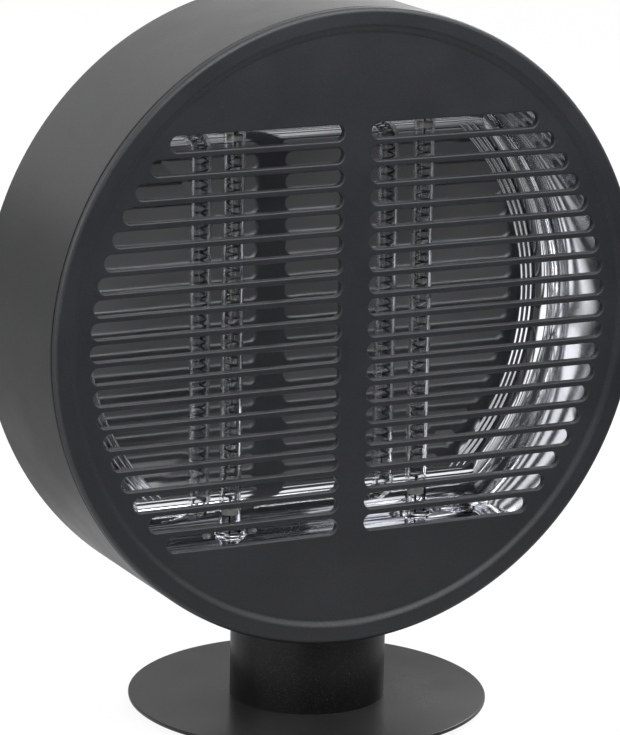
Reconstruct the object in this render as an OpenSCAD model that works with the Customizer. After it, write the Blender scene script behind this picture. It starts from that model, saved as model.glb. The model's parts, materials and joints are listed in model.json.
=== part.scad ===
// Table-top patio heater: a round drum head with a slotted front cover,
// a mirror reflector and two upright quartz tubes, on a short column and a flat round base.
// Millimetres, +Z up, the front faces -Y, the origin is on the floor under the column's axis.

/* [Drum] */
// Outer diameter of the drum and of the front cover's rim
drum_d = 320; // [304:2:340]
// Depth of the drum band from its front edge to its rear edge
drum_depth = 89; // [87:1:100]
// Thickness of the drum band's sheet
drum_wall = 1.2; // [0.8:0.1:1.6]
// Height of the drum's lowest line above the base disc
column_h = 39.4; // [34:0.2:60]

/* [Front cover] */
// How far the rim stands forward of the seam
rim_front = 4; // [3.8:0.1:5]
// Radius of the rim's outer edge
rim_edge_r = 2.6; // [1:0.1:3]
// Width of the rim's flat front
rim_w = 8; // [7:0.5:10]
// Width of the curved step from the rim down to the slotted plate
step_w = 4.8; // [3:0.2:6]
// Depth of the slotted plate behind the rim
step_h = 2; // [1:0.1:2.5]
// Thickness of the slotted plate
plate_t = 4; // [3:0.1:4.5]
// Rows of slots
slot_rows = 19; // [11:2:19]
// Distance from one row of slots to the next
slot_pitch = 11; // [10:0.25:11.5]
// Height of a slot
slot_h = 8; // [5:0.5:8.5]
// Width of the plain bar between the two columns of slots
centre_bar_w = 15; // [10:1:24]
// Plain border between the slots' round field and the step
slot_border = 6.8; // [5:0.2:12]
// Chamfer round the front edge of each slot
slot_chamfer = 0.8; // [0.4:0.1:1.2]
// Gap between the seam and the tabs that carry the cover
tab_setback = 8; // [7.5:0.5:9]

/* [Reflector] */
// Thickness of the reflector's sheet
mirror_t = 0.8; // [0.5:0.1:1.2]
// Depth of the reflector from its lip to its flat back
mirror_depth = 45; // [42:1:47]
// Gap between the front cover's back and the reflector's lip
lip_gap = 1; // [0.5:0.25:2]
// Width of the lip turned out round the reflector's mouth
lip_w = 1.8; // [1:0.1:2.5]
// How far the flat ledges lie inside the circle of the mouth
ledge_drop = 38; // [36:0.5:42]
// Radius between the ledges and the flat back
ledge_fillet = 14; // [8:1:16]
// Radial run of the curved side wall
wall_run = 16; // [12:0.5:20]
// Width of the band of pressed ridges round the flat back
ridge_band = 8; // [6:1:14]
// Height of a pressed ridge
ridge_h = 0.9; // [0.5:0.1:1.2]

/* [Heating tubes] */
// Distance between the two tubes' axes
tube_spacing = 104; // [96:1:110]
// Outer diameter of a quartz tube
tube_d = 10.8; // [10:0.1:11.4]
// Wall of a quartz tube
tube_wall = 1.2; // [1:0.1:1.4]
// Distance from the flat back of the reflector to the tubes' axes
tube_standoff = 19.2; // [16:0.2:22]
// Outer diameter of the heating coil
coil_d = 7.2; // [6:0.1:7.2]
// Diameter of the coil's wire
wire_d = 1.1; // [0.8:0.1:1.2]
// Curls of one coil
coil_curls = 44; // [30:1:44]
// Plain end of the coil's lead inside each ledge
coil_inset = 18; // [14:1:26]
// Length of a ceramic end cap
cap_len = 22; // [19:1:23]
// Distance from a tube's axis to the rivets beside it
rivet_offset = 12.4; // [12:0.1:14]

/* [Column and base] */
// Outer diameter of the column
column_d = 79; // [76:1:84]
// Wall of the column
column_wall = 2; // [1.5:0.1:3]
// Diameter of the base disc
base_d = 183; // [170:1:240]
// Thickness of the base disc
base_t = 2; // [2:0.5:6]
// Height of the rubber feet
foot_h = 3; // [2:0.5:6]
// Diameter of a rubber foot
foot_d = 16; // [10:1:24]
// Height of the cord gland above the base disc
gland_rise = 17; // [14:0.5:20]

/* [Rear] */
// Depth of the rear cover inside the drum's rear edge
rear_recess = 3; // [2.5:0.1:4]
// Rows of vents in the upper field
upper_vents = 8; // [4:1:8]
// Rows of vents in the lower field
lower_vents = 4; // [2:1:4]
// Height of a vent
vent_h = 4; // [3:0.5:5]
// Distance between the two rocker switches
rocker_spacing = 28; // [24:1:40]
// Travel of a rocker from off to on, in degrees
rocker_travel = 16; // [12:1:18]
// Length of the tilt switch's pendulum
pendulum_len = 18; // [15:0.5:18]

/* [Hidden] */

// Fits
slip = 0.1;
running = 0.05;
loose = 0.3;
cut = 1;

// Heights and the face frame: x right, y up, z forward, origin at the seam in the drum's middle
base_top = foot_h + base_t;
drum_r = drum_d / 2;
drum_in_r = drum_r - drum_wall;
drum_low = base_top + column_h;
head_z = drum_low + drum_r;
seam_gap = 1.4;

// Front cover
plate_front = rim_front - step_h;
plate_back = plate_front - plate_t;
rim_in_r = drum_r - rim_w;
plate_r = rim_in_r - step_w;
slot_field_r = plate_r - slot_border;
skirt_r = drum_in_r - 0.5;
skirt_t = 2.5;
skirt_len = tab_setback - 0.5;
boss_d = 8;
boss_ring_r = drum_in_r - 8.5;
cover_angles = [45, 135, 225, 315];

// Sheet tabs spot-welded to the drum's inner wall
tab_t = 1.6;
tab_w = 16;
tab_leg = 12;
tab_z = -tab_setback;
tab_out_r = drum_in_r - slip;
lip_clear = 0.5;
mouth_r = boss_ring_r - boss_d / 2 - lip_clear - lip_w;
tab_in_r = mouth_r + mirror_t + lip_clear;
tab_reach = drum_in_r - tab_in_r;
screw_ring_r = boss_ring_r;

// Reflector
back_r = mouth_r - wall_run;
flat_r = back_r - ridge_band;
lip_z = plate_back - lip_gap;
mirror_z = lip_z - mirror_depth;
ledge_y = mouth_r - ledge_drop;
ledge_out = ledge_y + mirror_t;
ridges = 3;
wall_steps = 8;

// Heating tubes
tube_x = tube_spacing / 2;
tube_r = tube_d / 2;
tube_z = mirror_z + tube_standoff;
ledge_hole_r = tube_r + 1.6;
collar_h = 2;
coil_r = (coil_d - wire_d) / 2;
coil_half = ledge_y - coil_inset;
rings_per_curl = 8;
coil_sides = 6;

// Brackets, caps and clips at the tubes' ends
bracket_t = 1.5;
bracket_half_w = tube_x + rivet_offset + 7;
bracket_front = tube_z + 8;
bracket_flange_h = 15;
bracket_flange_half_w = 58;
bracket_out = ledge_out + bracket_t;
bracket_screw_x = 35;
cap_r = tube_r + 2.4;
cap_flange_r = cap_r + 1.2;
cap_flange_h = 3;
cap_bore_depth = cap_len - 4.5;
cap_out = bracket_out + cap_len;
tube_half = bracket_out + cap_bore_depth - 0.5;
clip_t = 1;
clip_w = 10;
clip_leg = cap_flange_r + loose;
clip_foot = rivet_offset + 3.4;
rivet_r = 1.6;
rivet_head_r = 2.6;
rivet_head_h = 1.3;
rivet_tail_r = rivet_offset - clip_leg - clip_t - slip;
rivet_tail_h = 1;

// Chassis plate behind the reflector
chassis_t = 1.2;
chassis_front = mirror_z - mirror_t;
chassis_back = chassis_front - chassis_t;
chassis_r = drum_in_r - 0.8;
notch_clear = 1;
chassis_angles = [15, 165, 195, 345];

// Rear cover
rear_t = 1.2;
rear_out = -drum_depth + rear_recess;
rear_in = rear_out + rear_t;
rear_r = drum_in_r - 0.5;
rear_lip_t = 1.6;
rear_angles = [0, 60, 120, 180, 240, 300];
vent_pitch = 11;
vent_field_r = drum_in_r - 26;
vent_gap_w = 20;
upper_vent_y = 36;
lower_vent_y = -86;

// Screws
screw_r = 1.9;
screw_hole_r = screw_r + slip;
screw_head_r = 3.6;
screw_head_h = 2.2;

// Column, saddle and cord way
column_r = column_d / 2;
column_in_r = column_r - column_wall;
saddle_t = 8;
saddle_bolt_x = 20;
saddle_bolt_y = 14;
saddle_bolt_r = 2.5;
saddle_plate_x = 60;
saddle_plate_rise = 6;
saddle_top = drum_low + drum_wall + saddle_plate_rise;
foot_plate_t = 5;
foot_screw_ring = 28;
foot_ring_r = base_d / 2 - foot_d / 2 - 4;
lead_d = 7;
lead_clear = 3;
lead_y = -drum_depth / 2 - chassis_back + lead_d / 2 + lead_clear;
lead_sides = 8;
bush_r = 5.9;
bush_flange_r = 8;
bush_flange_t = 1.5;
bush_edge = 2;
bolt_head_r = 4.6;
bolt_head_h = 3.5;
saddle_plate_y =
    2 * (max(lead_y + bush_flange_r, saddle_bolt_y + bolt_head_r) + bush_edge);
gland_z = base_top + gland_rise;
gland_barrel_r = 6;
gland_flange_r = 10;
gland_flange_out = column_r + 4;
gland_nose = 9;
gland_bore_r = lead_d / 2 + 0.25;
gland_in_y = column_in_r - 6;
gland_nut_t = 4;

// Terminal block, thermal cut-out and tilt switch, all on the back of the chassis plate
block_w = 52;
block_h = 20;
block_depth = 16;
block_y = -90;
block_ways = 5;
block_way = 9.6;
block_foot = 6;
block_tier = 8;
block_screw_y = 5.5;
block_screw_sink = 1.5;
block_screw_h = 3.5;
block_wire_z = chassis_back - 9;
block_lead_out = 8;
component_head_r = 3;
component_head_h = 1.8;
terminal_r = 2;
terminal_slot = 0.6;
cutout_x = 48;
cutout_y = 30;
cutout_r = 8;
cutout_foot = 0.8;
cutout_foot_size = [32, 10];
cutout_can_h = 9;
cutout_screw_x = 12;
cutout_blade = [0.8, 6, 8.5];
cutout_blade_x = 4;
cutout_lead_z = chassis_back - 14;
tilt_x = -56;
tilt_y = 0;
tilt_z = chassis_back - 19;
tilt_foot = 3;
tilt_foot_size = [24, 30];
tilt_below = 6;
tilt_body = [20, 4.6, 15];
tilt_body_y = 7;
tilt_ear_over = 4.5;
tilt_screw_y = 9;
tilt_screw_gap = 22;
tilt_lead_y = tilt_y + tilt_body_y + tilt_body[1] / 2;
tilt_lead_z = chassis_back - 9;
tilt_ear_gap = 16;
tilt_ear_t = 2;
tilt_pin_r = 1.5;
tilt_hub_r = 4;
tilt_weight_r = 6;
tilt_weight_w = 12;

// Rocker switches in the rear cover
switch_y = -45;
switch_bezel = [17, 23.6, 1.6];
switch_body = [13.4, 19.6, 14];
switch_pocket = [11.8, 18.6, 8.8];
rocker_w = 11.2;
rocker_r = 8.9;
rocker_pivot = -2;
rocker_pin_r = 1.5;
rocker_crown = 3.6;
rocker_base = 5;
blade = [6.2, 0.8, 8];
blade_pitch = 6;
blade_lead_z = rear_in + switch_body[2] + 3;

// Wires held inside the drum
wire_r = 1.3;
wire_sides = 8;
wire_run_z = chassis_back - 4;
wire_over = cap_out + 9;
grommet_bore_r = 2.2;
grommet_r = 4.4;
grommet_flange_r = 6;
grommet_flange_t = 1;

big = $preview ? 120 : 180;
$fn = 64;

function arc_points(c, r, a0, a1, n) =
    [for (i = [0 : n]) let (a = a0 + (a1 - a0) * i / n) [c[0] + r * cos(a), c[1] + r * sin(a)]];
function half_chord(r, y) = sqrt(r * r - y * y);
function unit(v) = v / norm(v);

// A curve through points, whose pull at each point is as long as the stretch that it bends
function smooth_path(p, steps) = concat(
    [for (i = [0 : len(p) - 2], k = [0 : steps - 1])
        let (t = k / steps, b = p[i], c = p[i + 1], stretch = norm(c - b),
             leave = stretch * unit(c - p[max(i - 1, 0)]),
             arrive = stretch * unit(p[min(i + 2, len(p) - 1)] - b))
        b + t * t * (3 - 2 * t) * (c - b) + t * (1 - t) * ((1 - t) * leave - t * arrive)],
    [p[len(p) - 1]]);
function tangents(p) =
    [for (i = [0 : len(p) - 1]) unit(p[min(i + 1, len(p) - 1)] - p[max(i - 1, 0)])];
function squared_off(n, t) = unit(n - (n * t) * t);
function carried(t, start) =
    [for (i = 0, n = squared_off(start, t[0]); i < len(t);
          i = i + 1, n = i < len(t) ? squared_off(n, t[i]) : n) n];

// A round tube swept along a path, as one closed body of triangles
module tube_along(path, r, sides, side_hint) {
    t = tangents(path);
    n = carried(t, side_hint);
    count = len(path);
    polyhedron(
        points = [for (i = [0 : count - 1], j = [0 : sides - 1])
            let (a = 360 * j / sides)
            path[i] + r * (cos(a) * n[i] + sin(a) * cross(t[i], n[i]))],
        faces = concat(
            [for (k = [1 : sides - 2]) [0, k, k + 1]],
            [for (i = [0 : count - 2], j = [0 : sides - 1], half = [0, 1])
                let (a = i * sides + j, b = i * sides + (j + 1) % sides)
                half == 0 ? [a, a + sides, b + sides] : [a, b + sides, b]],
            [for (k = [1 : sides - 2])
                let (e = (count - 1) * sides) [e, e + k + 1, e + k]]));
}

// Puts children drawn in the face frame in their place on the head
module face() {
    translate([0, -drum_depth / 2, head_z]) rotate([90, 0, 0]) children();
}

// A cylinder between two depths of the face frame
module disc(r, z0, z1, fn = 64) {
    translate([0, 0, min(z0, z1)]) cylinder(r = r, h = abs(z1 - z0), $fn = fn);
}

// A cylinder along the face frame's y, or the heater's vertical
module upright(x, y0, y1, z, r, r2 = undef) {
    translate([x, min(y0, y1), z]) rotate([-90, 0, 0])
        cylinder(r1 = r, r2 = is_undef(r2) ? r : r2, h = abs(y1 - y0), $fn = 48);
}

// Copies children round the drum's axis
module around(angles) {
    for (a = angles) rotate([0, 0, a]) children();
}

// A slot's outline with round ends
module stadium(x0, x1, h) {
    translate([x0 + h / 2, -h / 2]) square([x1 - x0 - h, h]);
    for (x = [x0 + h / 2, x1 - h / 2]) translate([x, 0]) circle(d = h, $fn = 48);
}

// The flared mouth round a slot's front edge
module slot_mouth(x0, x1, h, c) {
    for (x = [x0 + h / 2, x1 - h / 2])
        translate([x, 0, 0]) cylinder(r1 = h / 2, r2 = h / 2 + 2 * c, h = 2 * c, $fn = 48);
    translate([x0 + h / 2, 0, 0]) rotate([90, 0, 90]) linear_extrude(x1 - x0 - h)
        polygon([[-h / 2, 0], [h / 2, 0], [h / 2 + 2 * c, 2 * c], [-h / 2 - 2 * c, 2 * c]]);
}

// A pan-head screw with a cross recess, head standing on z = 0 and shank below it
module pan_screw(length, head_r = screw_head_r, head_h = screw_head_h, r = screw_r) {
    difference() {
        union() {
            cylinder(r1 = head_r, r2 = head_r * 0.82, h = head_h, $fn = 40);
            translate([0, 0, -length]) cylinder(r = r, h = length + slip, $fn = 32);
        }
        for (a = [0, 90]) rotate([0, 0, a])
            translate([-head_r * 0.55, -0.4, head_h * 0.4]) cube([head_r * 1.1, 0.8, head_h]);
    }
}

// An angled tab: a leg towards the axis at z, and a leg along the wall to z + run
module tab(z, thick, run) {
    lo = min(z, z + run);
    difference() {
        intersection() {
            rotate_extrude($fn = big) {
                translate([tab_in_r, min(z, z + thick)])
                    square([tab_out_r - tab_in_r, abs(thick)]);
                translate([tab_out_r - tab_t, lo]) square([tab_t, abs(run)]);
            }
            translate([tab_in_r - 5, -tab_w / 2, lo - 5]) cube([tab_reach + 10, tab_w, tab_leg + 20]);
        }
        translate([screw_ring_r, 0, 0]) disc(screw_hole_r, z - 4 * tab_t, z + 4 * tab_t, 32);
    }
}

module base_disc() {
    edge = 0.4;
    color("dimgray") difference() {
        rotate_extrude($fn = big) polygon([
            [0, foot_h], [base_d / 2 - edge, foot_h], [base_d / 2, foot_h + edge],
            [base_d / 2, base_top - edge], [base_d / 2 - edge, base_top], [0, base_top]]);
        around(cover_angles) translate([foot_screw_ring, 0, foot_h]) {
            cylinder(r1 = 4.5, r2 = 2.5, h = 2, $fn = 40);
            translate([0, 0, -cut]) cylinder(r = 2.1, h = base_t + 2 * cut, $fn = 32);
        }
    }
}

module rubber_feet() {
    color("#202022") around([0, 90, 180, 270]) translate([foot_ring_r, 0, 0]) {
        cylinder(r1 = foot_d / 2 - 0.6, r2 = foot_d / 2, h = 0.6, $fn = 48);
        translate([0, 0, 0.6]) cylinder(d = foot_d, h = foot_h - 0.6, $fn = 48);
    }
}

module base_screws() {
    color("silver") around(cover_angles) translate([foot_screw_ring, 0, foot_h]) difference() {
        union() {
            cylinder(r1 = 4.4, r2 = 2.4, h = 2, $fn = 40);
            translate([0, 0, 1]) cylinder(r = 2, h = base_t - 1 + foot_plate_t - 0.5, $fn = 32);
        }
        translate([0, 0, -cut]) cylinder(r = 1.5, h = 1.2 + cut, $fn = 6);
    }
}

// What the drum's band would cut from the column's head
module drum_bed(r) {
    translate([0, -drum_depth, head_z]) rotate([-90, 0, 0])
        cylinder(r = r, h = 2 * drum_depth, $fn = big);
}

module column_tube() {
    color("#2b2c2e") difference() {
        translate([0, 0, base_top]) cylinder(r = column_r, h = column_h + 8, $fn = 120);
        translate([0, 0, base_top - cut]) cylinder(r = column_in_r, h = column_h + 12, $fn = 120);
        drum_bed(drum_r + slip);
        translate([0, 0, gland_z]) rotate([-90, 0, 0])
            cylinder(r = gland_barrel_r + slip, h = column_r + cut, $fn = 48);
    }
}

module column_foot() {
    color("silver") difference() {
        translate([0, 0, base_top]) cylinder(r = column_in_r - slip, h = foot_plate_t, $fn = 96);
        translate([0, 0, base_top - cut]) cylinder(r = 15, h = foot_plate_t + 2 * cut, $fn = 64);
        around(cover_angles) translate([foot_screw_ring, 0, base_top - cut])
            cylinder(r = 2.1, h = foot_plate_t + 2 * cut, $fn = 32);
    }
}

// Places children at the four saddle bolts
module at_saddle_bolts() {
    for (x = [-1, 1], y = [-1, 1])
        translate([x * saddle_bolt_x, y * saddle_bolt_y, 0]) children();
}

module column_saddle() {
    low = drum_low - saddle_t;
    color("silver") difference() {
        translate([0, 0, low]) cylinder(r = column_in_r - slip, h = saddle_t + 8, $fn = 96);
        drum_bed(drum_r + slip);
        at_saddle_bolts() translate([0, 0, low - cut])
            cylinder(r = saddle_bolt_r + slip, h = 30, $fn = 32);
        translate([0, lead_y, low - cut]) cylinder(r = bush_r + slip, h = 30, $fn = 48);
    }
}

module saddle_plate() {
    color("silver") difference() {
        intersection() {
            translate([-saddle_plate_x / 2, -saddle_plate_y / 2, drum_low])
                cube([saddle_plate_x, saddle_plate_y, saddle_top - drum_low]);
            drum_bed(drum_in_r - slip);
        }
        at_saddle_bolts() translate([0, 0, drum_low - cut])
            cylinder(r = saddle_bolt_r + 2 * slip, h = 20, $fn = 32);
        translate([0, lead_y, drum_low - cut]) cylinder(r = bush_r + slip, h = 20, $fn = 48);
    }
}

module saddle_bolts() {
    color("silver") at_saddle_bolts() {
        translate([0, 0, saddle_top]) cylinder(r = bolt_head_r, h = bolt_head_h, $fn = 6);
        translate([0, 0, drum_low - saddle_t + 0.5])
            cylinder(r = saddle_bolt_r, h = saddle_top - drum_low + saddle_t, $fn = 32);
    }
}

module lead_bush() {
    low = drum_low - saddle_t;
    color("#202022") difference() {
        union() {
            translate([0, lead_y, saddle_top]) cylinder(r = bush_flange_r, h = bush_flange_t, $fn = 48);
            translate([0, lead_y, low]) cylinder(r = bush_r, h = saddle_top - low + 0.5, $fn = 48);
        }
        translate([0, lead_y, low - cut])
            cylinder(r = lead_d / 2 + 0.25, h = saddle_top - low + 5, $fn = 48);
    }
}

module cable_gland() {
    seat = column_r - 3;
    color("#202022") translate([0, 0, gland_z]) rotate([-90, 0, 0]) difference() {
        union() {
            disc(gland_barrel_r, gland_in_y, gland_flange_out, 48);
            difference() {
                disc(gland_flange_r, seat, gland_flange_out);
                rotate([90, 0, 0]) cylinder(r = column_r + slip, h = 4 * gland_flange_r,
                                            center = true, $fn = 120);
            }
            translate([0, 0, gland_flange_out])
                cylinder(r1 = 8.5, r2 = 6.8, h = gland_nose, $fn = 64);
        }
        disc(gland_bore_r, gland_in_y - cut, gland_flange_out + gland_nose + cut, 48);
    }
}

module gland_nut() {
    color("#202022") intersection() {
        translate([0, column_in_r - gland_nut_t, gland_z]) rotate([-90, 0, 0]) difference() {
            cylinder(r = 9.5, h = gland_nut_t, $fn = 6);
            translate([0, 0, -cut])
                cylinder(r = gland_barrel_r + slip, h = gland_nut_t + 2 * cut, $fn = 48);
        }
        translate([0, 0, base_top]) cylinder(r = column_in_r - slip, h = column_h, $fn = 120);
    }
}

// The mains lead inside the heater, from the gland to the terminal block
module supply_lead() {
    bend_y = gland_in_y - lead_y - 1;
    bend_z = drum_low - saddle_t - gland_z - 2 * slip;
    top = head_z + block_y - block_h / 2 - slip;
    path = concat(
        [[0, gland_in_y - slip, gland_z]],
        [for (i = [0 : 8]) let (a = 90 * i / 8)
            [0, lead_y + bend_y * (1 - sin(a)), gland_z + bend_z * (1 - cos(a))]],
        [[0, lead_y, (gland_z + bend_z + top) / 2], [0, lead_y, top]]);
    color("#202022") tube_along(path, lead_d / 2, lead_sides, [1, 0, 0]);
}

module drum_shell() {
    color("dimgray") difference() {
        face() difference() {
            disc(drum_r, -drum_depth, -seam_gap / 2, big);
            disc(drum_in_r, -drum_depth - cut, cut, big);
        }
        at_saddle_bolts() translate([0, 0, drum_low - 5])
            cylinder(r = saddle_bolt_r + slip, h = 15, $fn = 32);
        translate([0, lead_y, drum_low - 5]) cylinder(r = bush_r + slip, h = 15, $fn = 48);
    }
}

module cover_tabs() {
    color("silver") face() around(cover_angles) tab(tab_z, -tab_t, -tab_leg);
}

module chassis_tabs() {
    color("silver") face() around(chassis_angles) tab(chassis_front, tab_t, tab_leg);
}

module rear_tabs() {
    color("silver") face() around(rear_angles) tab(rear_in, tab_t, tab_leg);
}

function cover_profile() = concat(
    [[0, plate_back], [skirt_r - skirt_t, plate_back], [skirt_r - skirt_t, -skirt_len],
     [skirt_r, -skirt_len], [skirt_r, seam_gap / 2], [drum_r, seam_gap / 2]],
    arc_points([drum_r - rim_edge_r, rim_front - rim_edge_r], rim_edge_r, 0, 90, 8),
    [for (i = [0 : 8]) let (t = i / 8)
        [rim_in_r - step_w * t, rim_front - step_h * (1 - cos(180 * t)) / 2]],
    [[0, plate_front]]);

// Calls its children's shape for each slot: rows of two slots, outer ends on a circle
module front_slots() {
    for (row = [0 : slot_rows - 1]) {
        y = (row - (slot_rows - 1) / 2) * slot_pitch;
        reach = half_chord(slot_field_r, y);
        for (side = [0, 1]) translate([0, y, 0]) mirror([side, 0, 0]) {
            translate([0, 0, plate_back - cut]) linear_extrude(plate_t + 2 * cut)
                stadium(centre_bar_w / 2, reach, slot_h);
            translate([0, 0, plate_front - slot_chamfer])
                slot_mouth(centre_bar_w / 2, reach, slot_h, slot_chamfer);
        }
    }
}

module front_cover() {
    color("#2f3033") face() difference() {
        union() {
            rotate_extrude($fn = big) polygon(cover_profile());
            around(cover_angles) translate([boss_ring_r, 0, 0])
                disc(boss_d / 2, tab_z, plate_back + cut / 2, 40);
        }
        front_slots();
        around(cover_angles) translate([boss_ring_r, 0, 0])
            disc(screw_hole_r, tab_z - cut, plate_back + 1, 32);
    }
}

module cover_screws() {
    color("silver") face() around(cover_angles) translate([boss_ring_r, 0, tab_z - tab_t])
        mirror([0, 0, 1]) pan_screw(tab_t + tab_setback + plate_back);
}

// One row of vents, left and right of the middle
module vent_row(y) {
    for (side = [0, 1]) translate([0, y, rear_out - cut]) mirror([side, 0, 0])
        linear_extrude(rear_t + 2 * cut)
            stadium(vent_gap_w / 2, half_chord(vent_field_r, y), vent_h);
}

module rear_cover() {
    color("dimgray") face() difference() {
        union() {
            disc(rear_r, rear_out, rear_in, big);
            difference() {
                disc(rear_r, rear_out - rear_recess + 1, rear_out + rear_t / 2, big);
                disc(rear_r - rear_lip_t, rear_out - rear_recess, rear_out + rear_t, big);
            }
        }
        for (i = [0 : upper_vents - 1]) vent_row(upper_vent_y + i * vent_pitch);
        for (i = [0 : lower_vents - 1]) vent_row(lower_vent_y - i * vent_pitch);
        around(rear_angles) translate([screw_ring_r, 0, 0])
            disc(screw_hole_r, rear_out - cut, rear_in + cut, 32);
        for (s = [-1, 1])
            translate([s * rocker_spacing / 2 - switch_body[0] / 2 - slip,
                       switch_y - switch_body[1] / 2 - slip, rear_out - cut])
                cube([switch_body[0] + 2 * slip, switch_body[1] + 2 * slip, rear_t + 2 * cut]);
    }
}

module rear_cover_screws() {
    color("silver") face() around(rear_angles) translate([screw_ring_r, 0, rear_out])
        mirror([0, 0, 1]) pan_screw(rear_t + tab_t + 2);
}

// The reflector's hollow, or with grow the outside of its sheet
module reflector_form(grow) {
    step = ridge_band / (2 * ridges);
    rise = mirror_depth + grow;
    intersection() {
        rotate_extrude($fn = big) polygon(concat(
            [[0, mirror_z - grow], [flat_r, mirror_z - grow]],
            [for (i = [1 : 2 * ridges])
                [flat_r + i * step, mirror_z - grow + (i % 2 == 1 ? ridge_h : 0)]],
            [for (i = [1 : wall_steps]) let (a = 90 * i / wall_steps)
                [back_r + (wall_run + grow) * sin(a), mirror_z - grow + rise * (1 - cos(a))]],
            [[mouth_r + grow, lip_z + 2], [0, lip_z + 2]]));
        rotate([0, 90, 0]) translate([0, 0, -drum_r]) linear_extrude(drum_d) {
            translate([-lip_z - 5, -ledge_y - grow])
                square([mirror_depth - ledge_fillet + 5, 2 * (ledge_y + grow)]);
            translate([-lip_z - 5, -ledge_y + ledge_fillet])
                square([mirror_depth + grow + 5, 2 * (ledge_y - ledge_fillet)]);
            for (s = [-1, 1])
                translate([-mirror_z - ledge_fillet, s * (ledge_y - ledge_fillet)])
                    circle(r = ledge_fillet + grow, $fn = 64);
        }
    }
}

// Calls children at the four places where a tube passes a ledge, turned so +y leads outwards
module at_tube_ends() {
    for (side = [-1, 1], up = [0, 1])
        mirror([0, up, 0]) translate([side * tube_x, 0, 0]) children();
}

module reflector() {
    color("#d8dadd") face() difference() {
        union() {
            difference() {
                union() {
                    reflector_form(mirror_t);
                    intersection() {
                        disc(mouth_r + lip_w, lip_z - mirror_t, lip_z, big);
                        translate([-drum_r, -ledge_y - lip_w, lip_z - 10])
                            cube([drum_d, 2 * (ledge_y + lip_w), 20]);
                    }
                }
                reflector_form(0);
                disc(drum_r, lip_z, lip_z + 20, big);
            }
            at_tube_ends() upright(0, ledge_y - collar_h, ledge_y + mirror_t / 2, tube_z,
                                   ledge_hole_r + mirror_t);
        }
        at_tube_ends() {
            upright(0, ledge_y - collar_h - cut, ledge_out + cut, tube_z, ledge_hole_r);
            for (s = [-1, 1])
                upright(s * rivet_offset, ledge_y - cut, ledge_out + cut, tube_z, rivet_r + slip);
        }
    }
}

module chassis_plate() {
    notch_w = saddle_plate_x + 2 * notch_clear;
    notch_top = saddle_top + bolt_head_h + notch_clear - head_z;
    color("silver") face() difference() {
        disc(chassis_r, chassis_back, chassis_front, big);
        translate([-notch_w / 2, -drum_r, chassis_back - cut])
            cube([notch_w, drum_r + notch_top, chassis_t + 2 * cut]);
        at_wire_holes() disc(grommet_r + slip, chassis_back - cut, chassis_front + cut, 40);
        around(chassis_angles) translate([screw_ring_r, 0, 0])
            disc(screw_hole_r, chassis_back - cut, chassis_front + cut, 32);
        for (p = concat(bracket_screw_places(), component_screw_places()))
            translate([p[0], p[1], 0])
                disc(screw_hole_r, chassis_back - cut, chassis_front + cut, 32);
    }
}

// Places children at the four holes where the tubes' leads pass the chassis plate
module at_wire_holes() {
    for (x = [-1, 1], y = [-1, 1]) translate([x * tube_x, y * wire_over, 0]) children();
}

module wire_grommets() {
    low = chassis_back - slip - grommet_flange_t;
    color("#202022") face() at_wire_holes() difference() {
        union() {
            disc(grommet_flange_r, low, low + grommet_flange_t, 40);
            disc(grommet_r, low, chassis_front + slip + grommet_flange_t, 40);
            disc(grommet_flange_r, chassis_front + slip,
                 chassis_front + slip + grommet_flange_t, 40);
        }
        disc(grommet_bore_r, low - cut, chassis_front + 2 * cut + grommet_flange_t, 32);
    }
}

module chassis_screws() {
    color("silver") face() around(chassis_angles) translate([screw_ring_r, 0, chassis_back])
        mirror([0, 0, 1]) pan_screw(chassis_t + tab_t + 2);
}

function bracket_screw_places() =
    [for (x = [-1, 1], y = [-1, 1])
        [x * bracket_screw_x, y * (ledge_out + bracket_flange_h * 0.6)]];

// One angled bracket: a shelf against the ledge and a flange against the chassis plate
module tube_bracket() {
    difference() {
        union() {
            translate([-bracket_half_w, ledge_out, chassis_front])
                cube([2 * bracket_half_w, bracket_t, bracket_front - chassis_front]);
            translate([-bracket_flange_half_w, ledge_out, chassis_front])
                cube([2 * bracket_flange_half_w, bracket_flange_h, bracket_t]);
        }
        for (side = [-1, 1]) {
            upright(side * tube_x, ledge_y, bracket_out + cut, tube_z, tube_r + 0.6);
            for (s = [-1, 1])
                upright(side * tube_x + s * rivet_offset, ledge_y, bracket_out + cut, tube_z,
                        rivet_r + slip);
            translate([side * bracket_screw_x, ledge_out + bracket_flange_h * 0.6, 0])
                disc(screw_hole_r, chassis_front - cut, chassis_front + bracket_t + cut, 32);
        }
    }
}

module upper_tube_bracket() {
    color("silver") face() tube_bracket();
}

module lower_tube_bracket() {
    color("silver") face() mirror([0, 1, 0]) tube_bracket();
}

module bracket_screws() {
    color("silver") face() for (p = bracket_screw_places())
        translate([p[0], p[1], chassis_back]) mirror([0, 0, 1])
            pan_screw(chassis_t + bracket_t + 1);
}

module ledge_rivets() {
    top = bracket_out + clip_t;
    color("silver") face() at_tube_ends() for (s = [-1, 1]) {
        upright(s * rivet_offset, ledge_y - rivet_head_h, ledge_y, tube_z,
                0.6 * rivet_head_r, rivet_head_r);
        upright(s * rivet_offset, ledge_y - rivet_head_h / 2, top + rivet_tail_h / 2, tube_z, rivet_r);
        upright(s * rivet_offset, top, top + rivet_tail_h, tube_z,
                rivet_tail_r, 0.9 * rivet_tail_r);
    }
}

// A quartz tube, open at both ends
module quartz_tube(side) {
    face() difference() {
        upright(side * tube_x, -tube_half, tube_half, tube_z, tube_r);
        upright(side * tube_x, -tube_half - cut, tube_half + cut, tube_z, tube_r - tube_wall);
    }
}

module quartz_tube_left() { color("lightsteelblue", 0.5) quartz_tube(-1); }
module quartz_tube_right() { color("lightsteelblue", 0.5) quartz_tube(1); }

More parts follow.
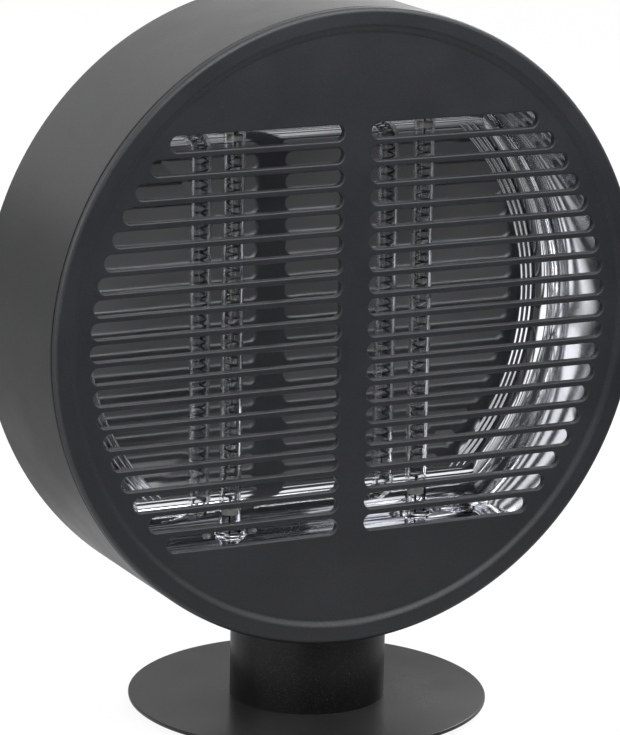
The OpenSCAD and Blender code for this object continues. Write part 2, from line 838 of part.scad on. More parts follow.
// The coil's centre line: straight lead, a rise over half a curl, the curls, and back
coil_rings = coil_curls * rings_per_curl;
coil_path = concat(
    [[0, -tube_half - 0.3, 0], [0, -coil_half - 2 * wire_d, 0]],
    [for (k = [0 : coil_rings])
        let (a = 360 * k / rings_per_curl, grow = min(1, k / 4, (coil_rings - k) / 4))
        [coil_r * grow * cos(a), coil_half * (2 * k / coil_rings - 1), coil_r * grow * sin(a)]],
    [[0, coil_half + 2 * wire_d, 0], [0, tube_half + 0.3, 0]]);
coil_gap = min([for (i = [2 : len(coil_path) - 15], j = [i + 4 : i + 12])
    norm(coil_path[i] - coil_path[j])]) - wire_d;
echo(coil_least_gap_mm = coil_gap);

module filament(side) {
    face() translate([side * tube_x, 0, tube_z])
        tube_along(coil_path, wire_d / 2, coil_sides, [1, 0, 0]);
}

module filament_left() { color("#3a3534") filament(-1); }
module filament_right() { color("#3a3534") filament(1); }

// Discs that centre each coil's lead in its tube
module coil_holders() {
    seat = coil_half + 2 * wire_d + 3;
    color("gainsboro") face() at_tube_ends() difference() {
        upright(0, seat, seat + 2.5, tube_z, tube_r - tube_wall - slip);
        upright(0, seat - cut, seat + 2.5 + cut, tube_z, wire_d / 2 + slip);
    }
}

// A ceramic cap over one end of a tube
module end_cap(side, up) {
    face() mirror([0, up, 0]) translate([side * tube_x, 0, 0]) difference() {
        union() {
            upright(0, bracket_out, cap_out, tube_z, cap_r);
            upright(0, bracket_out, bracket_out + cap_flange_h, tube_z, cap_flange_r);
        }
        upright(0, bracket_out - cut, bracket_out + cap_bore_depth, tube_z, tube_r + slip);
        upright(0, bracket_out, cap_out + cut, tube_z, wire_r + 0.2);
    }
}

module end_cap_upper_left() { color("ivory") end_cap(-1, 0); }
module end_cap_upper_right() { color("ivory") end_cap(1, 0); }
module end_cap_lower_left() { color("ivory") end_cap(-1, 1); }
module end_cap_lower_right() { color("ivory") end_cap(1, 1); }

// A strap over a cap, held down by the rivets at its feet
module tube_clip(side) {
    top = cap_out + slip;
    translate([side * tube_x, 0, tube_z]) difference() {
        union() {
            translate([-clip_leg - clip_t, top, -clip_w / 2])
                cube([2 * (clip_leg + clip_t), clip_t, clip_w]);
            for (s = [0, 1]) mirror([s, 0, 0]) {
                translate([clip_leg, bracket_out, -clip_w / 2])
                    cube([clip_t, top + clip_t - bracket_out, clip_w]);
                translate([clip_leg, bracket_out, -clip_w / 2])
                    cube([clip_foot - clip_leg, clip_t, clip_w]);
            }
        }
        upright(0, top - cut, top + clip_t + cut, 0, wire_r + 1);
        for (s = [-1, 1])
            upright(s * rivet_offset, bracket_out - cut, bracket_out + clip_t + cut, 0,
                    rivet_r + slip);
    }
}

module upper_tube_clips() {
    color("silver") face() for (side = [-1, 1]) tube_clip(side);
}

module lower_tube_clips() {
    color("silver") face() mirror([0, 1, 0]) for (side = [-1, 1]) tube_clip(side);
}

// Places of the terminal block's ways, left to right
function way_x(i) = (i - (block_ways - 1) / 2) * block_way;

module terminal_block() {
    color("ivory") face() translate([0, block_y, chassis_back]) difference() {
        union() {
            translate([-block_w / 2, -block_h / 2, -block_foot]) cube([block_w, block_h, block_foot]);
            for (i = [0 : block_ways - 1])
                translate([way_x(i) - block_tier / 2, -block_h / 2, -block_depth])
                    cube([block_tier, block_h, block_depth]);
        }
        for (i = [0 : block_ways - 1], s = [-1, 1])
            translate([way_x(i), s * block_screw_y, 0])
                disc(terminal_r + slip, -block_depth - cut,
                     -block_depth + block_screw_sink + block_screw_h, 24);
        for (s = [-1, 1]) translate([s * block_way / 2, 0, 0]) {
            disc(screw_hole_r, -block_foot - cut, cut, 32);
            disc(component_head_r + loose, -block_depth - cut, -block_foot, 32);
        }
    }
}

module terminal_screws() {
    color("gold") face() for (i = [0 : block_ways - 1], s = [-1, 1])
        translate([way_x(i), block_y + s * block_screw_y,
                   chassis_back - block_depth + block_screw_sink]) difference() {
            cylinder(r = terminal_r, h = block_screw_h, $fn = 24);
            translate([-0.8 * terminal_r, -terminal_slot / 2, -terminal_slot])
                cube([1.6 * terminal_r, terminal_slot, 2 * terminal_slot]);
        }
}

function component_screw_places() = concat(
    [for (s = [-1, 1]) [s * block_way / 2, block_y]],
    [for (s = [-1, 1]) [cutout_x + s * cutout_screw_x, cutout_y]],
    [for (s = [-1, 1]) [tilt_x, tilt_y + tilt_screw_y + s * tilt_screw_gap / 2]]);

module thermal_cutout() {
    color("silver") face() translate([cutout_x, cutout_y, chassis_back]) difference() {
        union() {
            translate([-cutout_foot_size[0] / 2, -cutout_foot_size[1] / 2, -cutout_foot])
                cube([cutout_foot_size[0], cutout_foot_size[1], cutout_foot]);
            disc(cutout_r, -cutout_can_h, 0, 48);
            for (s = [-1, 1])
                translate([s * cutout_blade_x - cutout_blade[0] / 2, -cutout_blade[1] / 2,
                           slip - cutout_can_h - cutout_blade[2]])
                    cube(cutout_blade);
        }
        for (s = [-1, 1]) translate([s * cutout_screw_x, 0, 0])
            disc(screw_hole_r, -cutout_foot - cut, cut, 32);
    }
}

module tilt_switch_case() {
    ear_z = tilt_z - tilt_ear_over;
    color("#202022") face() difference() {
        union() {
            translate([tilt_x - tilt_foot_size[0] / 2, tilt_y - tilt_below, chassis_back - tilt_foot])
                cube([tilt_foot_size[0], tilt_foot_size[1], tilt_foot]);
            translate([tilt_x - tilt_body[0] / 2, tilt_y + tilt_body_y, chassis_back - tilt_body[2]])
                cube([tilt_body[0], tilt_body[1], tilt_body[2] - tilt_foot / 2]);
            for (s = [0, 1]) translate([tilt_x, 0, 0]) mirror([s, 0, 0])
                translate([tilt_ear_gap / 2, tilt_y - tilt_below, ear_z])
                    cube([tilt_ear_t, tilt_below + tilt_body_y + tilt_body[1], chassis_back - ear_z]);
        }
        translate([tilt_x, tilt_y, tilt_z]) rotate([0, 90, 0])
            cylinder(r = tilt_pin_r + running, h = 2 * tilt_body[0], center = true, $fn = 32);
        for (s = [-1, 1])
            translate([tilt_x, tilt_y + tilt_screw_y + s * tilt_screw_gap / 2, 0])
                disc(screw_hole_r, chassis_back - tilt_foot - cut, chassis_back + cut, 32);
    }
}

module tilt_pendulum() {
    hub_w = tilt_ear_gap - 2 * loose;
    color("goldenrod") face() translate([tilt_x, tilt_y, tilt_z]) difference() {
        union() {
            rotate([0, 90, 0]) cylinder(r = tilt_hub_r, h = hub_w, center = true, $fn = 48);
            translate([-2, -pendulum_len, -2]) cube([4, pendulum_len, 4]);
            translate([0, -pendulum_len, 0]) rotate([0, 90, 0])
                cylinder(r = tilt_weight_r, h = tilt_weight_w, center = true, $fn = 64);
        }
        rotate([0, 90, 0])
            cylinder(r = tilt_pin_r + running, h = hub_w + 2 * cut, center = true, $fn = 32);
    }
}

module tilt_pivot_pin() {
    half = tilt_ear_gap / 2 + tilt_ear_t;
    color("silver") face() translate([tilt_x, tilt_y, tilt_z]) rotate([0, 90, 0]) {
        cylinder(r = tilt_pin_r, h = 2 * half + 2, center = true, $fn = 32);
        translate([0, 0, half + 0.1]) cylinder(r = tilt_pin_r + 1, h = 1.2, $fn = 32);
    }
}

module component_screws() {
    seats = [block_foot, block_foot, cutout_foot, cutout_foot, tilt_foot, tilt_foot];
    places = component_screw_places();
    color("silver") face() for (i = [0 : len(places) - 1])
        translate([places[i][0], places[i][1], chassis_back - seats[i]])
            mirror([0, 0, 1]) pan_screw(seats[i] + chassis_t, component_head_r, component_head_h);
}

// Puts children drawn with +z out of the rear cover at one switch
module at_switch(side) {
    face() translate([side * rocker_spacing / 2, switch_y, rear_out]) rotate([0, 180, 0]) children();
}

// A box centred on x and y that hangs down from z
module hung_box(size, z) {
    translate([-size[0] / 2, -size[1] / 2, z - size[2]]) cube(size);
}

module rocker_switch_body(side) {
    at_switch(side) {
        difference() {
            union() {
                hung_box(switch_bezel, switch_bezel[2]);
                hung_box([switch_body[0], switch_body[1], switch_body[2] + 0.5], 0.5);
            }
            hung_box([switch_pocket[0], switch_pocket[1], switch_pocket[2] + 5], 5);
            translate([0, 0, rocker_pivot]) rotate([0, 90, 0])
                cylinder(r = rocker_pin_r + running, h = switch_body[0] + 2 * cut, center = true,
                         $fn = 32);
        }
        for (i = [-1 : 1])
            translate([-blade[0] / 2, i * blade_pitch - blade[1] / 2, 0.5 - switch_body[2] - blade[2]])
                cube(blade);
    }
}

module switch_body_left() { color("#202022") rocker_switch_body(-1); }
module switch_body_right() { color("#202022") rocker_switch_body(1); }

// A rocker: a shallow V on top, ends rounded about its own pivot, drawn switched off
module rocker(side) {
    lean = rocker_travel / 2;
    rise = rocker_r * tan(lean);
    at_switch(side) translate([0, 0, rocker_pivot]) rotate([lean, 0, 0]) {
        intersection() {
            rotate([90, 0, 90]) linear_extrude(rocker_w, center = true) polygon([
                [-rocker_r, -rocker_base], [rocker_r, -rocker_base],
                [rocker_r, rocker_crown + rise], [0, rocker_crown], [-rocker_r, rocker_crown + rise]]);
            rotate([0, 90, 0]) cylinder(r = rocker_r, h = rocker_w + cut, center = true, $fn = 96);
        }
        rotate([0, 90, 0])
            cylinder(r = rocker_pin_r, h = switch_body[0] - 0.4, center = true, $fn = 32);
    }
}

module rocker_left() { color("#28282b") rocker(-1); }
module rocker_right() { color("#28282b") rocker(1); }

// One insulated wire through hand-chosen points of the face frame
module wire(points, hint = [0, 0, 1]) {
    tube_along(smooth_path(points, 3), wire_r, wire_sides, hint);
}

// Where a wire meets the terminal block, and the point where it starts to bend
function block_end(way) = [way_x(way), block_y + block_h / 2 + loose, block_wire_z];
function block_out(way) = block_end(way) + [0, block_lead_out, 0];

// Where a wire meets a blade of a switch: the blade's place along y, and left or right of it
function blade_end(side, place, hand) =
    [side * rocker_spacing / 2 + hand * (blade[0] / 2 + loose), switch_y + place * blade_pitch,
     blade_lead_z];

// Leads of the tubes: from each cap, through the chassis plate, to the block or the switches
module tube_wires() {
    start = cap_out - 4;
    out = cap_out + 2;
    over = wire_over;
    color("gainsboro") face() for (side = [-1, 1]) {
        x = side * tube_x;
        wire([[x, start, tube_z], [x, out, tube_z], [x, over - 5, tube_z], [x, over, tube_z - 6],
              [x, over, chassis_front + 5], [x, over, chassis_back - 3],
              [x, over, chassis_back - 7], [x - side * 10, over - 16, wire_run_z - 8],
              [side * 31, cutout_y + 50, wire_run_z - 2], [side * 28, -30, wire_run_z - 2],
              block_out(side > 0 ? block_ways - 1 : 0), block_end(side > 0 ? block_ways - 1 : 0)]);
        wire([[x, -start, tube_z], [x, -out, tube_z], [x, -over + 5, tube_z],
              [x, -over, tube_z - 6], [x, -over, chassis_front + 5], [x, -over, chassis_back - 3],
              [x, -over, chassis_back - 7], [x - side * 6, -over + 20, wire_run_z - 10],
              [side * 38, block_y, wire_run_z - 8],
              [side * 34, switch_y - 20, blade_lead_z + 5],
              blade_end(side, -1, side) + [side * 7, 0, 0], blade_end(side, -1, side)]);
    }
}

// Wires between the terminal block, cut-out, tilt switch and rocker switches
module control_wires() {
    cutout_end = [cutout_blade_x + cutout_blade[0] / 2 + loose, 0, 0];
    cutout_mid = [cutout_x, cutout_y, cutout_lead_z];
    tilt_end = [tilt_body[0] / 2 + loose, 0, 0];
    tilt_mid = [tilt_x, tilt_lead_y, tilt_lead_z];
    color("firebrick") face() {
        wire([block_end(3), block_out(3), [20, -10, wire_run_z - 6],
              [cutout_x - 14, cutout_y - 8, cutout_lead_z], cutout_mid - cutout_end - [4, 0, 0],
              cutout_mid - cutout_end]);
        wire([cutout_mid + cutout_end, cutout_mid + cutout_end + [5, 2, 0],
              cutout_mid + [8, 20, 0], [20, 62, wire_run_z - 11], [-16, 46, wire_run_z - 9],
              [-30, 24, wire_run_z - 5], tilt_mid + tilt_end + [8, 0, 0], tilt_mid + tilt_end]);
        wire([tilt_mid - tilt_end, tilt_mid - tilt_end - [6, 0, 0],
              tilt_mid - tilt_end - [10, 10, 0], [tilt_x - 22, -20, wire_run_z - 4],
              [tilt_x - 4, -46, wire_run_z - 4], [-36, switch_y - 6, blade_lead_z],
              blade_end(-1, 0, -1) - [5, 0, 0], blade_end(-1, 0, -1)]);
        wire([blade_end(-1, 0, 1), [0, switch_y, blade_lead_z], blade_end(1, 0, -1)]);
    }
}

// The earth lead, from its terminal to the tail of a bracket screw
module earth_wire() {
    screw = bracket_screw_places()[3];
    end_y = screw[1] - screw_head_r - loose;
    low_z = chassis_back - wire_r - slip;
    color("yellowgreen") face()
        wire([block_end(2), block_out(2), [-2, -20, wire_run_z - 4], [4, 40, wire_run_z - 4],
              [18, end_y - 26, wire_run_z - 2], [screw[0] - 2, end_y - 12, low_z - 0.4],
              [screw[0], end_y - 6, low_z], [screw[0], end_y, low_z]]);
}

base_disc();
rubber_feet();
base_screws();
column_tube();
column_foot();
column_saddle();
saddle_plate();
saddle_bolts();
lead_bush();
cable_gland();
gland_nut();
supply_lead();
drum_shell();
cover_tabs();
chassis_tabs();
rear_tabs();
front_cover();
cover_screws();
rear_cover();
rear_cover_screws();
reflector();
chassis_plate();
chassis_screws();
wire_grommets();
upper_tube_bracket();
lower_tube_bracket();
bracket_screws();
ledge_rivets();
quartz_tube_left();
quartz_tube_right();
filament_left();
filament_right();
coil_holders();
end_cap_upper_left();
end_cap_upper_right();
end_cap_lower_left();
end_cap_lower_right();
upper_tube_clips();
lower_tube_clips();
terminal_block();
terminal_screws();
thermal_cutout();
tilt_switch_case();
tilt_pendulum();
tilt_pivot_pin();
component_screws();
switch_body_left();
switch_body_right();
rocker_left();
rocker_right();
tube_wires();
control_wires();
earth_wire();
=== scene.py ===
import json
from math import copysign, cos, pi, radians, sin, sqrt, tau

import bpy
import bmesh
from mathutils import Matrix, Vector
from bpy.props import FloatProperty, FloatVectorProperty, IntProperty, PointerProperty

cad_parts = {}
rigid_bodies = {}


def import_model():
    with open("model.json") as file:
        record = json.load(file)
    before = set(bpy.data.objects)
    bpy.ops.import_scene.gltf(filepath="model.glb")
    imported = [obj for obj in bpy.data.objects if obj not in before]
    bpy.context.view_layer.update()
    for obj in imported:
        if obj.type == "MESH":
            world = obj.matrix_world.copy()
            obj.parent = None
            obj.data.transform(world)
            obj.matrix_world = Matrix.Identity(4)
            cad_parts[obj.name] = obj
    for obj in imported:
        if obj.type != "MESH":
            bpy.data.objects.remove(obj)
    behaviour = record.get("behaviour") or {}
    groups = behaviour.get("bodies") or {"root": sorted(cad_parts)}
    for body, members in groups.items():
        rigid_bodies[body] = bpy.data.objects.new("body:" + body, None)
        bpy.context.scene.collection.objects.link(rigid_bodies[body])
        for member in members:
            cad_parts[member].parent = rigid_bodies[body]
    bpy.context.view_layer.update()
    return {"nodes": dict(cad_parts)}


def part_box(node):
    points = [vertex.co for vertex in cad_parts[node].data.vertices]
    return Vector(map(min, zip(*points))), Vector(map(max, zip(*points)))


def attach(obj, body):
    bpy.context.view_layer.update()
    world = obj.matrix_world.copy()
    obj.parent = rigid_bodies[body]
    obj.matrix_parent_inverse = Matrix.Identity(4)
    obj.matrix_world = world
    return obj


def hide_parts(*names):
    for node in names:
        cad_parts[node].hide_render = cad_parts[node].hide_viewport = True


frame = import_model()

bl_info = {
    "name": "Table-top patio heater",
    "version": (1, 0, 0),
    "blender": (4, 5, 0),
    "location": "3D View > Sidebar > Heater",
    "description": "Dresses the heater's frame with its finished pieces, materials and studio",
    "category": "Object",
}

# Sizes are written in millimetres and multiplied by MM; +Z is up and the front faces -Y.
MM = 0.001
SAME_PLACE = 0.001 * MM

# Places read from the frame
DRUM_LOW, DRUM_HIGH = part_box("drum_shell")
COVER_LOW, COVER_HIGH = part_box("front_cover")
MIRROR_LOW, MIRROR_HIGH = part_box("reflector")
TUBE_LOW, TUBE_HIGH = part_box("quartz_tube_right")
DRUM_R = (DRUM_HIGH.x - DRUM_LOW.x) / 2
HEAD_Z = (DRUM_HIGH.z + DRUM_LOW.z) / 2
HEAD = Vector((0, 0, HEAD_Z))
SEAM_GAP = 1.4 * MM
SEAM_Y = DRUM_LOW.y - SEAM_GAP / 2
TUBE_X, TUBE_Y = (TUBE_LOW.x + TUBE_HIGH.x) / 2, (TUBE_LOW.y + TUBE_HIGH.y) / 2
TUBE_HALF, TUBE_R = (TUBE_HIGH.z - TUBE_LOW.z) / 2, (TUBE_HIGH.x - TUBE_LOW.x) / 2
LEAD_Y = sum(corner.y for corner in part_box("lead_bush")) / 2
COVER_BACK = COVER_LOW.y + 6 * MM

# Steps in which round pieces are spun
DRUM_STEPS, PLATE_STEPS, DISH_STEPS, TUBE_STEPS, HOLE_STEPS, PIN_STEPS = 240, 192, 180, 64, 48, 40


def on_face(x, up, forward):
    """A point given from the middle of the drum's seam: to the right, up and forward."""
    return Vector((x, SEAM_Y - forward, HEAD_Z + up))


def four_corners(radius):
    """Places on a circle at 45, 135, 225 and 315 degrees."""
    turns = [radians(45 + 90 * i) for i in range(4)]
    return [(radius * cos(turn), radius * sin(turn)) for turn in turns]


# Modelling helpers


def deselect():
    """Leaves edit mode and clears the selection."""
    if bpy.context.object and bpy.context.object.mode != "OBJECT":
        leave_edit()
    bpy.ops.object.select_all(action="DESELECT")


def make_active(obj):
    deselect()
    obj.select_set(True)
    bpy.context.view_layer.objects.active = obj
    return obj


def remove(obj):
    make_active(obj)
    bpy.ops.object.delete()


def edit(obj):
    """Enters edit mode with everything selected."""
    make_active(obj)
    bpy.ops.object.mode_set(mode="EDIT")
    bpy.ops.mesh.select_mode(type="VERT")
    bpy.ops.mesh.select_all(action="SELECT")


def leave_edit():
    bpy.ops.object.mode_set(mode="OBJECT")


def pick(obj, kind, test):
    """In edit mode, selects the vertices or edges that pass the test."""
    bpy.ops.mesh.select_all(action="DESELECT")
    bpy.ops.mesh.select_mode(type=kind)
    cage = bmesh.from_edit_mesh(obj.data)
    for part in cage.verts if kind == "VERT" else cage.edges:
        part.select = test(part)
    cage.select_flush_mode()
    bmesh.update_edit_mesh(obj.data)


def clean(obj):
    """Closes seams and turns faces outwards."""
    edit(obj)
    bpy.ops.mesh.remove_doubles(threshold=SAME_PLACE)
    bpy.ops.mesh.normals_make_consistent(inside=False)
    leave_edit()
    return obj


def with_modifier(obj, kind, **settings):
    """Adds a modifier to a piece and applies it."""
    make_active(obj)
    modifier = obj.modifiers.new(kind, kind)
    for key, value in settings.items():
        setattr(modifier, key, value)
    bpy.ops.object.modifier_apply(modifier=modifier.name)
    return obj


def smoothed(obj, angle):
    """Smooths a piece, and keeps its flat faces flat where they run into rounded ones."""
    bpy.ops.object.shade_smooth_by_angle(angle=radians(angle))
    return with_modifier(obj, "WEIGHTED_NORMAL", weight=100, keep_sharp=True)


def settle(obj, smooth_angle=30):
    """Cleans and smooths a piece, with its place in its mesh."""
    clean(obj)
    bpy.ops.object.transform_apply()
    return smoothed(obj, smooth_angle)


def block(place, size=(1, 1, 1)):
    deselect()
    bpy.ops.mesh.primitive_cube_add(size=1.0, location=place, scale=size)
    return bpy.context.object


def chain(name, points):
    """A line of edges drawn by pulling one vertex from point to point."""
    deselect()
    bpy.ops.mesh.primitive_plane_add(size=MM, location=(0, 0, 0))
    obj = bpy.context.object
    obj.name = name
    edit(obj)
    bpy.ops.mesh.merge(type="CENTER")
    bpy.ops.transform.translate(value=points[0])
    for here, there in zip(points, points[1:]):
        bpy.ops.mesh.extrude_vertices_move(TRANSFORM_OT_translate={"value": there - here})
    leave_edit()
    return obj


def lathe(name, profile, centre, axis, steps, turn=0.0):
    """Spins a profile of (radius, along) round an axis through centre, as one closed shell."""
    up, right = Vector((0, 0, 1)), Vector((1, 0, 0))
    along, across = (Vector((0, 1, 0)), up) if axis == "Y" else (up, right)
    across = Matrix.Rotation(turn, 3, along) @ across
    centre = Vector(centre)
    obj = chain(name, [centre + r * across + a * along for r, a in profile])
    edit(obj)
    bpy.ops.mesh.spin(steps=steps, angle=tau, center=centre, axis=along)
    leave_edit()
    return clean(obj)


def arc(centre_r, centre_a, radius, start, end, steps):
    """Points of a rounded corner in a lathe's profile, from one angle to another in degrees."""
    turns = [radians(start + (end - start) * i / steps) for i in range(steps + 1)]
    return [(centre_r + radius * cos(t), centre_a + radius * sin(t)) for t in turns]


def copy_of(obj, name, move=(0, 0, 0)):
    """A copy with its own mesh, moved."""
    make_active(obj)
    bpy.ops.object.duplicate()
    twin = bpy.context.object
    twin.name = name
    bpy.ops.transform.translate(value=move)
    bpy.ops.object.transform_apply()
    return twin


def joined(name, pieces):
    make_active(pieces[0])
    for piece in pieces[1:]:
        piece.select_set(True)
    if len(pieces) > 1:
        bpy.ops.object.join()
    whole = bpy.context.object
    whole.name = name
    return whole


def cut_with(obj, cutter, operation="DIFFERENCE"):
    """Applies a Boolean with a cutter, and deletes the cutter."""
    with_modifier(obj, "BOOLEAN", operation=operation, solver="EXACT", object=cutter)
    remove(cutter)
    return make_active(obj)


def softened(node, width, segments):
    """A copy of a node's shape, its triangles merged into faces and its sharp edges rounded."""
    make_active(frame["nodes"][node])
    bpy.ops.object.duplicate()
    obj = bpy.context.object
    obj.name = node + "_finished"
    for key in list(obj.keys()):
        del obj[key]
    bpy.ops.object.parent_clear(type="CLEAR_KEEP_TRANSFORM")
    if obj.data.has_custom_normals:
        bpy.ops.mesh.customdata_custom_splitnormals_clear()
    edit(obj)
    bpy.ops.mesh.remove_doubles(threshold=2 * SAME_PLACE)
    bpy.ops.mesh.dissolve_limited(angle_limit=radians(0.5))
    leave_edit()
    with_modifier(obj, "BEVEL", width=width * MM, segments=segments, limit_method="ANGLE",
                  angle_limit=radians(35), use_clamp_overlap=True)
    return smoothed(obj, 30)


def tube_through(name, points, radius, resolution):
    """A round tube along points, drawn as edges, bevelled as a curve and made a mesh."""
    make_active(chain(name, points))
    bpy.ops.object.convert(target="CURVE")
    curve = bpy.context.object.data
    curve.bevel_depth = radius
    curve.bevel_resolution = resolution
    curve.use_fill_caps = True
    bpy.ops.object.convert(target="MESH")
    tube = clean(bpy.context.object)
    tube.name = name
    bpy.ops.object.shade_smooth_by_angle(angle=radians(50))
    return tube


def smooth_route(points):
    """Points on a smooth curve whose pull at each point is as long as the stretch it bends."""
    points = [Vector(p) for p in points]
    last, steps = len(points) - 1, 8
    route = []
    for i in range(last):
        start, end = points[i], points[i + 1]
        stretch = (end - start).length
        leave = stretch * (end - points[max(i - 1, 0)]).normalized()
        arrive = stretch * (points[min(i + 2, last)] - start).normalized()
        for t in [k / steps for k in range(steps)]:
            route.append(start + t * t * (3 - 2 * t) * (end - start)
                         + t * (1 - t) * ((1 - t) * leave - t * arrive))
    return route + [points[last]]


def finish_piece(obj, finish, nodes=(), body="root"):
    """Gives a piece its finish and its body, and hides the nodes that it stands for."""
    deselect()
    obj.data.materials.clear()
    obj.data.materials.append(FINISHES[finish])
    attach(obj, body)
    if nodes:
        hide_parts(*nodes)
    return obj


def round_off(node, width, segments=2, body="root"):
    """Puts a copy with rounded edges in a node's place, in the node's own finish."""
    finish = frame["nodes"][node].material_slots[0].material.name.replace("_finish", "")
    return finish_piece(softened(node, width, segments), finish, [node], body)



def length(name, text, size):
    return FloatProperty(name=name, description=text, unit="LENGTH", default=size)


def angle(name, text, degrees):
    return FloatProperty(name=name, description=text, subtype="ANGLE", default=radians(degrees))


def level(name, text, value):
    return FloatProperty(name=name, description=text, min=0, default=value)


def tint(name, text, colour):
    return FloatVectorProperty(name=name, description=text, subtype="COLOR", size=3, min=0, max=1,
                               default=colour)


# Finishes

FINISHES = {}
WHITE = (1, 1, 1, 1)

# Paints: grit, dust, least and most roughness, depth of the texture in millimetres, gloss
PAINTS = {
    "cover": (0.35, 0.03, 0.36, 0.46, 0.05, 0.38),
    "drum": (0.4, 0.05, 0.28, 0.38, 0.05, 0.32),
    "column": (0.05, 0.02, 0.28, 0.36, 0.012, 0.18),
    "base": (0.3, 0.05, 0.18, 0.26, 0.03, 0.27),
}

# Metals: colour, least and most roughness, stain, depths of the grain and of the waves in
# millimetres, and how fine the grain is across and upwards
STREAKED, EVEN = (40.0, 900.0), (300.0, 300.0)
METALS = {
    "mirror_aluminium": ((0.86, 0.87, 0.9), 0.03, 0.09, 0.04, 0.0, 0.16, STREAKED),
    "rivet_aluminium": ((0.26, 0.26, 0.27), 0.34, 0.5, 0.2, 0.03, 0.0, STREAKED),
    "zinc_steel": ((0.6, 0.61, 0.62), 0.28, 0.46, 0.3, 0.03, 0.0, EVEN),
    "zinc_sheet": ((0.58, 0.6, 0.62), 0.3, 0.5, 0.35, 0.02, 0.3, STREAKED),
    "black_screw": ((0.06, 0.06, 0.065), 0.3, 0.5, 0.1, 0.03, 0.0, EVEN),
    "brass": ((0.72, 0.52, 0.22), 0.22, 0.4, 0.25, 0.02, 0.0, EVEN),
}

# Moulded and fired materials: colour, second colour, least and most roughness, size and depth of
# the grain in millimetres
MOULDED = {
    "white_ceramic": ((0.74, 0.72, 0.67), (0.66, 0.63, 0.57), 0.45, 0.7, 0.35, 0.03),
    "cream_plastic": ((0.66, 0.6, 0.46), (0.6, 0.54, 0.4), 0.35, 0.5, 0.4, 0.02),
    "black_plastic": ((0.02, 0.02, 0.021), (0.028, 0.028, 0.029), 0.4, 0.55, 0.45, 0.03),
    "switch_plastic": ((0.016, 0.016, 0.017), (0.022, 0.022, 0.022), 0.2, 0.32, 0.6, 0.012),
    "black_rubber": ((0.022, 0.022, 0.022), (0.034, 0.033, 0.032), 0.65, 0.85, 0.5, 0.05),
    "lead_rubber": ((0.02, 0.02, 0.02), (0.03, 0.03, 0.03), 0.5, 0.7, 0.4, 0.04),
    "white_sleeve": ((0.7, 0.69, 0.64), (0.58, 0.56, 0.5), 0.55, 0.75, 0.7, 0.08),
    "red_insulation": ((0.36, 0.02, 0.015), (0.28, 0.015, 0.012), 0.35, 0.5, 0.3, 0.01),
}
GREEN_INSULATION = ((0.05, 0.25, 0.06), (0.04, 0.2, 0.05), 0.35, 0.5, 0.3, 0.01)


class Sheet:
    """A material or node group under construction, with short ways to add nodes."""

    def __init__(self, tree):
        self.tree = tree

    def add(self, kind, settings=None, **inputs):
        node = self.tree.nodes.new("ShaderNode" + kind)
        for key, value in (settings or {}).items():
            setattr(node, key, value)
        for key, value in inputs.items():
            self.set(node, key.replace("_", " "), value)
        return node

    def set(self, node, socket, value):
        target = node.inputs[int(socket) if socket.isdigit() else socket]
        if isinstance(value, bpy.types.NodeSocket):
            self.tree.links.new(value, target)
        else:
            target.default_value = value

    def set_in_turn(self, node, sockets, values):
        for socket, value in zip(sockets, values):
            self.set(node, socket, value)
        return node

    def math(self, operation, first, second, clamp=False):
        node = self.add("Math", {"operation": operation, "use_clamp": clamp})
        return self.set_in_turn(node, "01", (first, second)).outputs[0]

    def vector(self, operation, *values):
        node = self.add("VectorMath", {"operation": operation})
        self.set_in_turn(node, "01", values)
        return node.outputs["Value" if operation in ("LENGTH", "DOT_PRODUCT") else "Vector"]

    def part(self, vector, axis):
        return self.add("SeparateXYZ", Vector=vector).outputs[axis]

    def facing(self, axis):
        """How far the surface faces along an axis."""
        return self.part(self.add("NewGeometry").outputs["Normal"], axis)

    def ramp(self, value, low, high, low_to=0.0, high_to=1.0):
        node = self.add("MapRange", {"clamp": True})
        self.set_in_turn(node, ("Value", "From Min", "From Max", "To Min", "To Max"),
                         (value, low, high, low_to, high_to))
        return node.outputs["Result"]

    def blend(self, fac, first, second):
        node = self.add("Mix", {"data_type": "RGBA"})
        return self.set_in_turn(node, "067", (fac, first, second)).outputs[2]

    def mix_shaders(self, fac, first, second):
        node = self.add("MixShader")
        return self.set_in_turn(node, "012", (fac, first.outputs[0], second.outputs[0])).outputs[0]

    def noise(self, place, size, detail=2.0, roughness=0.5):
        """Noise whose grains are about size millimetres across."""
        node = self.add("TexNoise", {"noise_dimensions": "3D"}, Vector=place,
                        Scale=1.0 / (size * MM), Detail=detail, Roughness=roughness)
        return node.outputs["Fac"]

    def place(self):
        return self.add("TexCoord").outputs["Object"]

    def bump(self, shader, height, depth, before=None):
        """A bump whose height of 1 stands for depth millimetres."""
        bump = self.add("Bump", Strength=1.0, Distance=depth * MM, Height=height)
        if before:
            self.set(bump, "Normal", before)
        self.set(shader, "Normal", bump.outputs["Normal"])
        return bump.outputs["Normal"]


def new_group(name, inputs, outputs):
    """A node group with the given values and, beside the colour and roughness, some outputs."""
    group = bpy.data.node_groups.new(name, "ShaderNodeTree")
    for label, default in (inputs | {"Rough Low": 0.4, "Rough High": 0.55}).items():
        kind = "NodeSocketColor" if "Colour" in label else "NodeSocketFloat"
        socket = group.interface.new_socket(label, in_out="INPUT", socket_type=kind)
        socket.default_value = default
    group.interface.new_socket("Colour", in_out="OUTPUT", socket_type="NodeSocketColor")
    for label in ("Roughness",) + outputs:
        group.interface.new_socket(label, in_out="OUTPUT", socket_type="NodeSocketFloat")
    given = group.nodes.new("NodeGroupInput").outputs
    return Sheet(group), given, group.nodes.new("NodeGroupOutput")


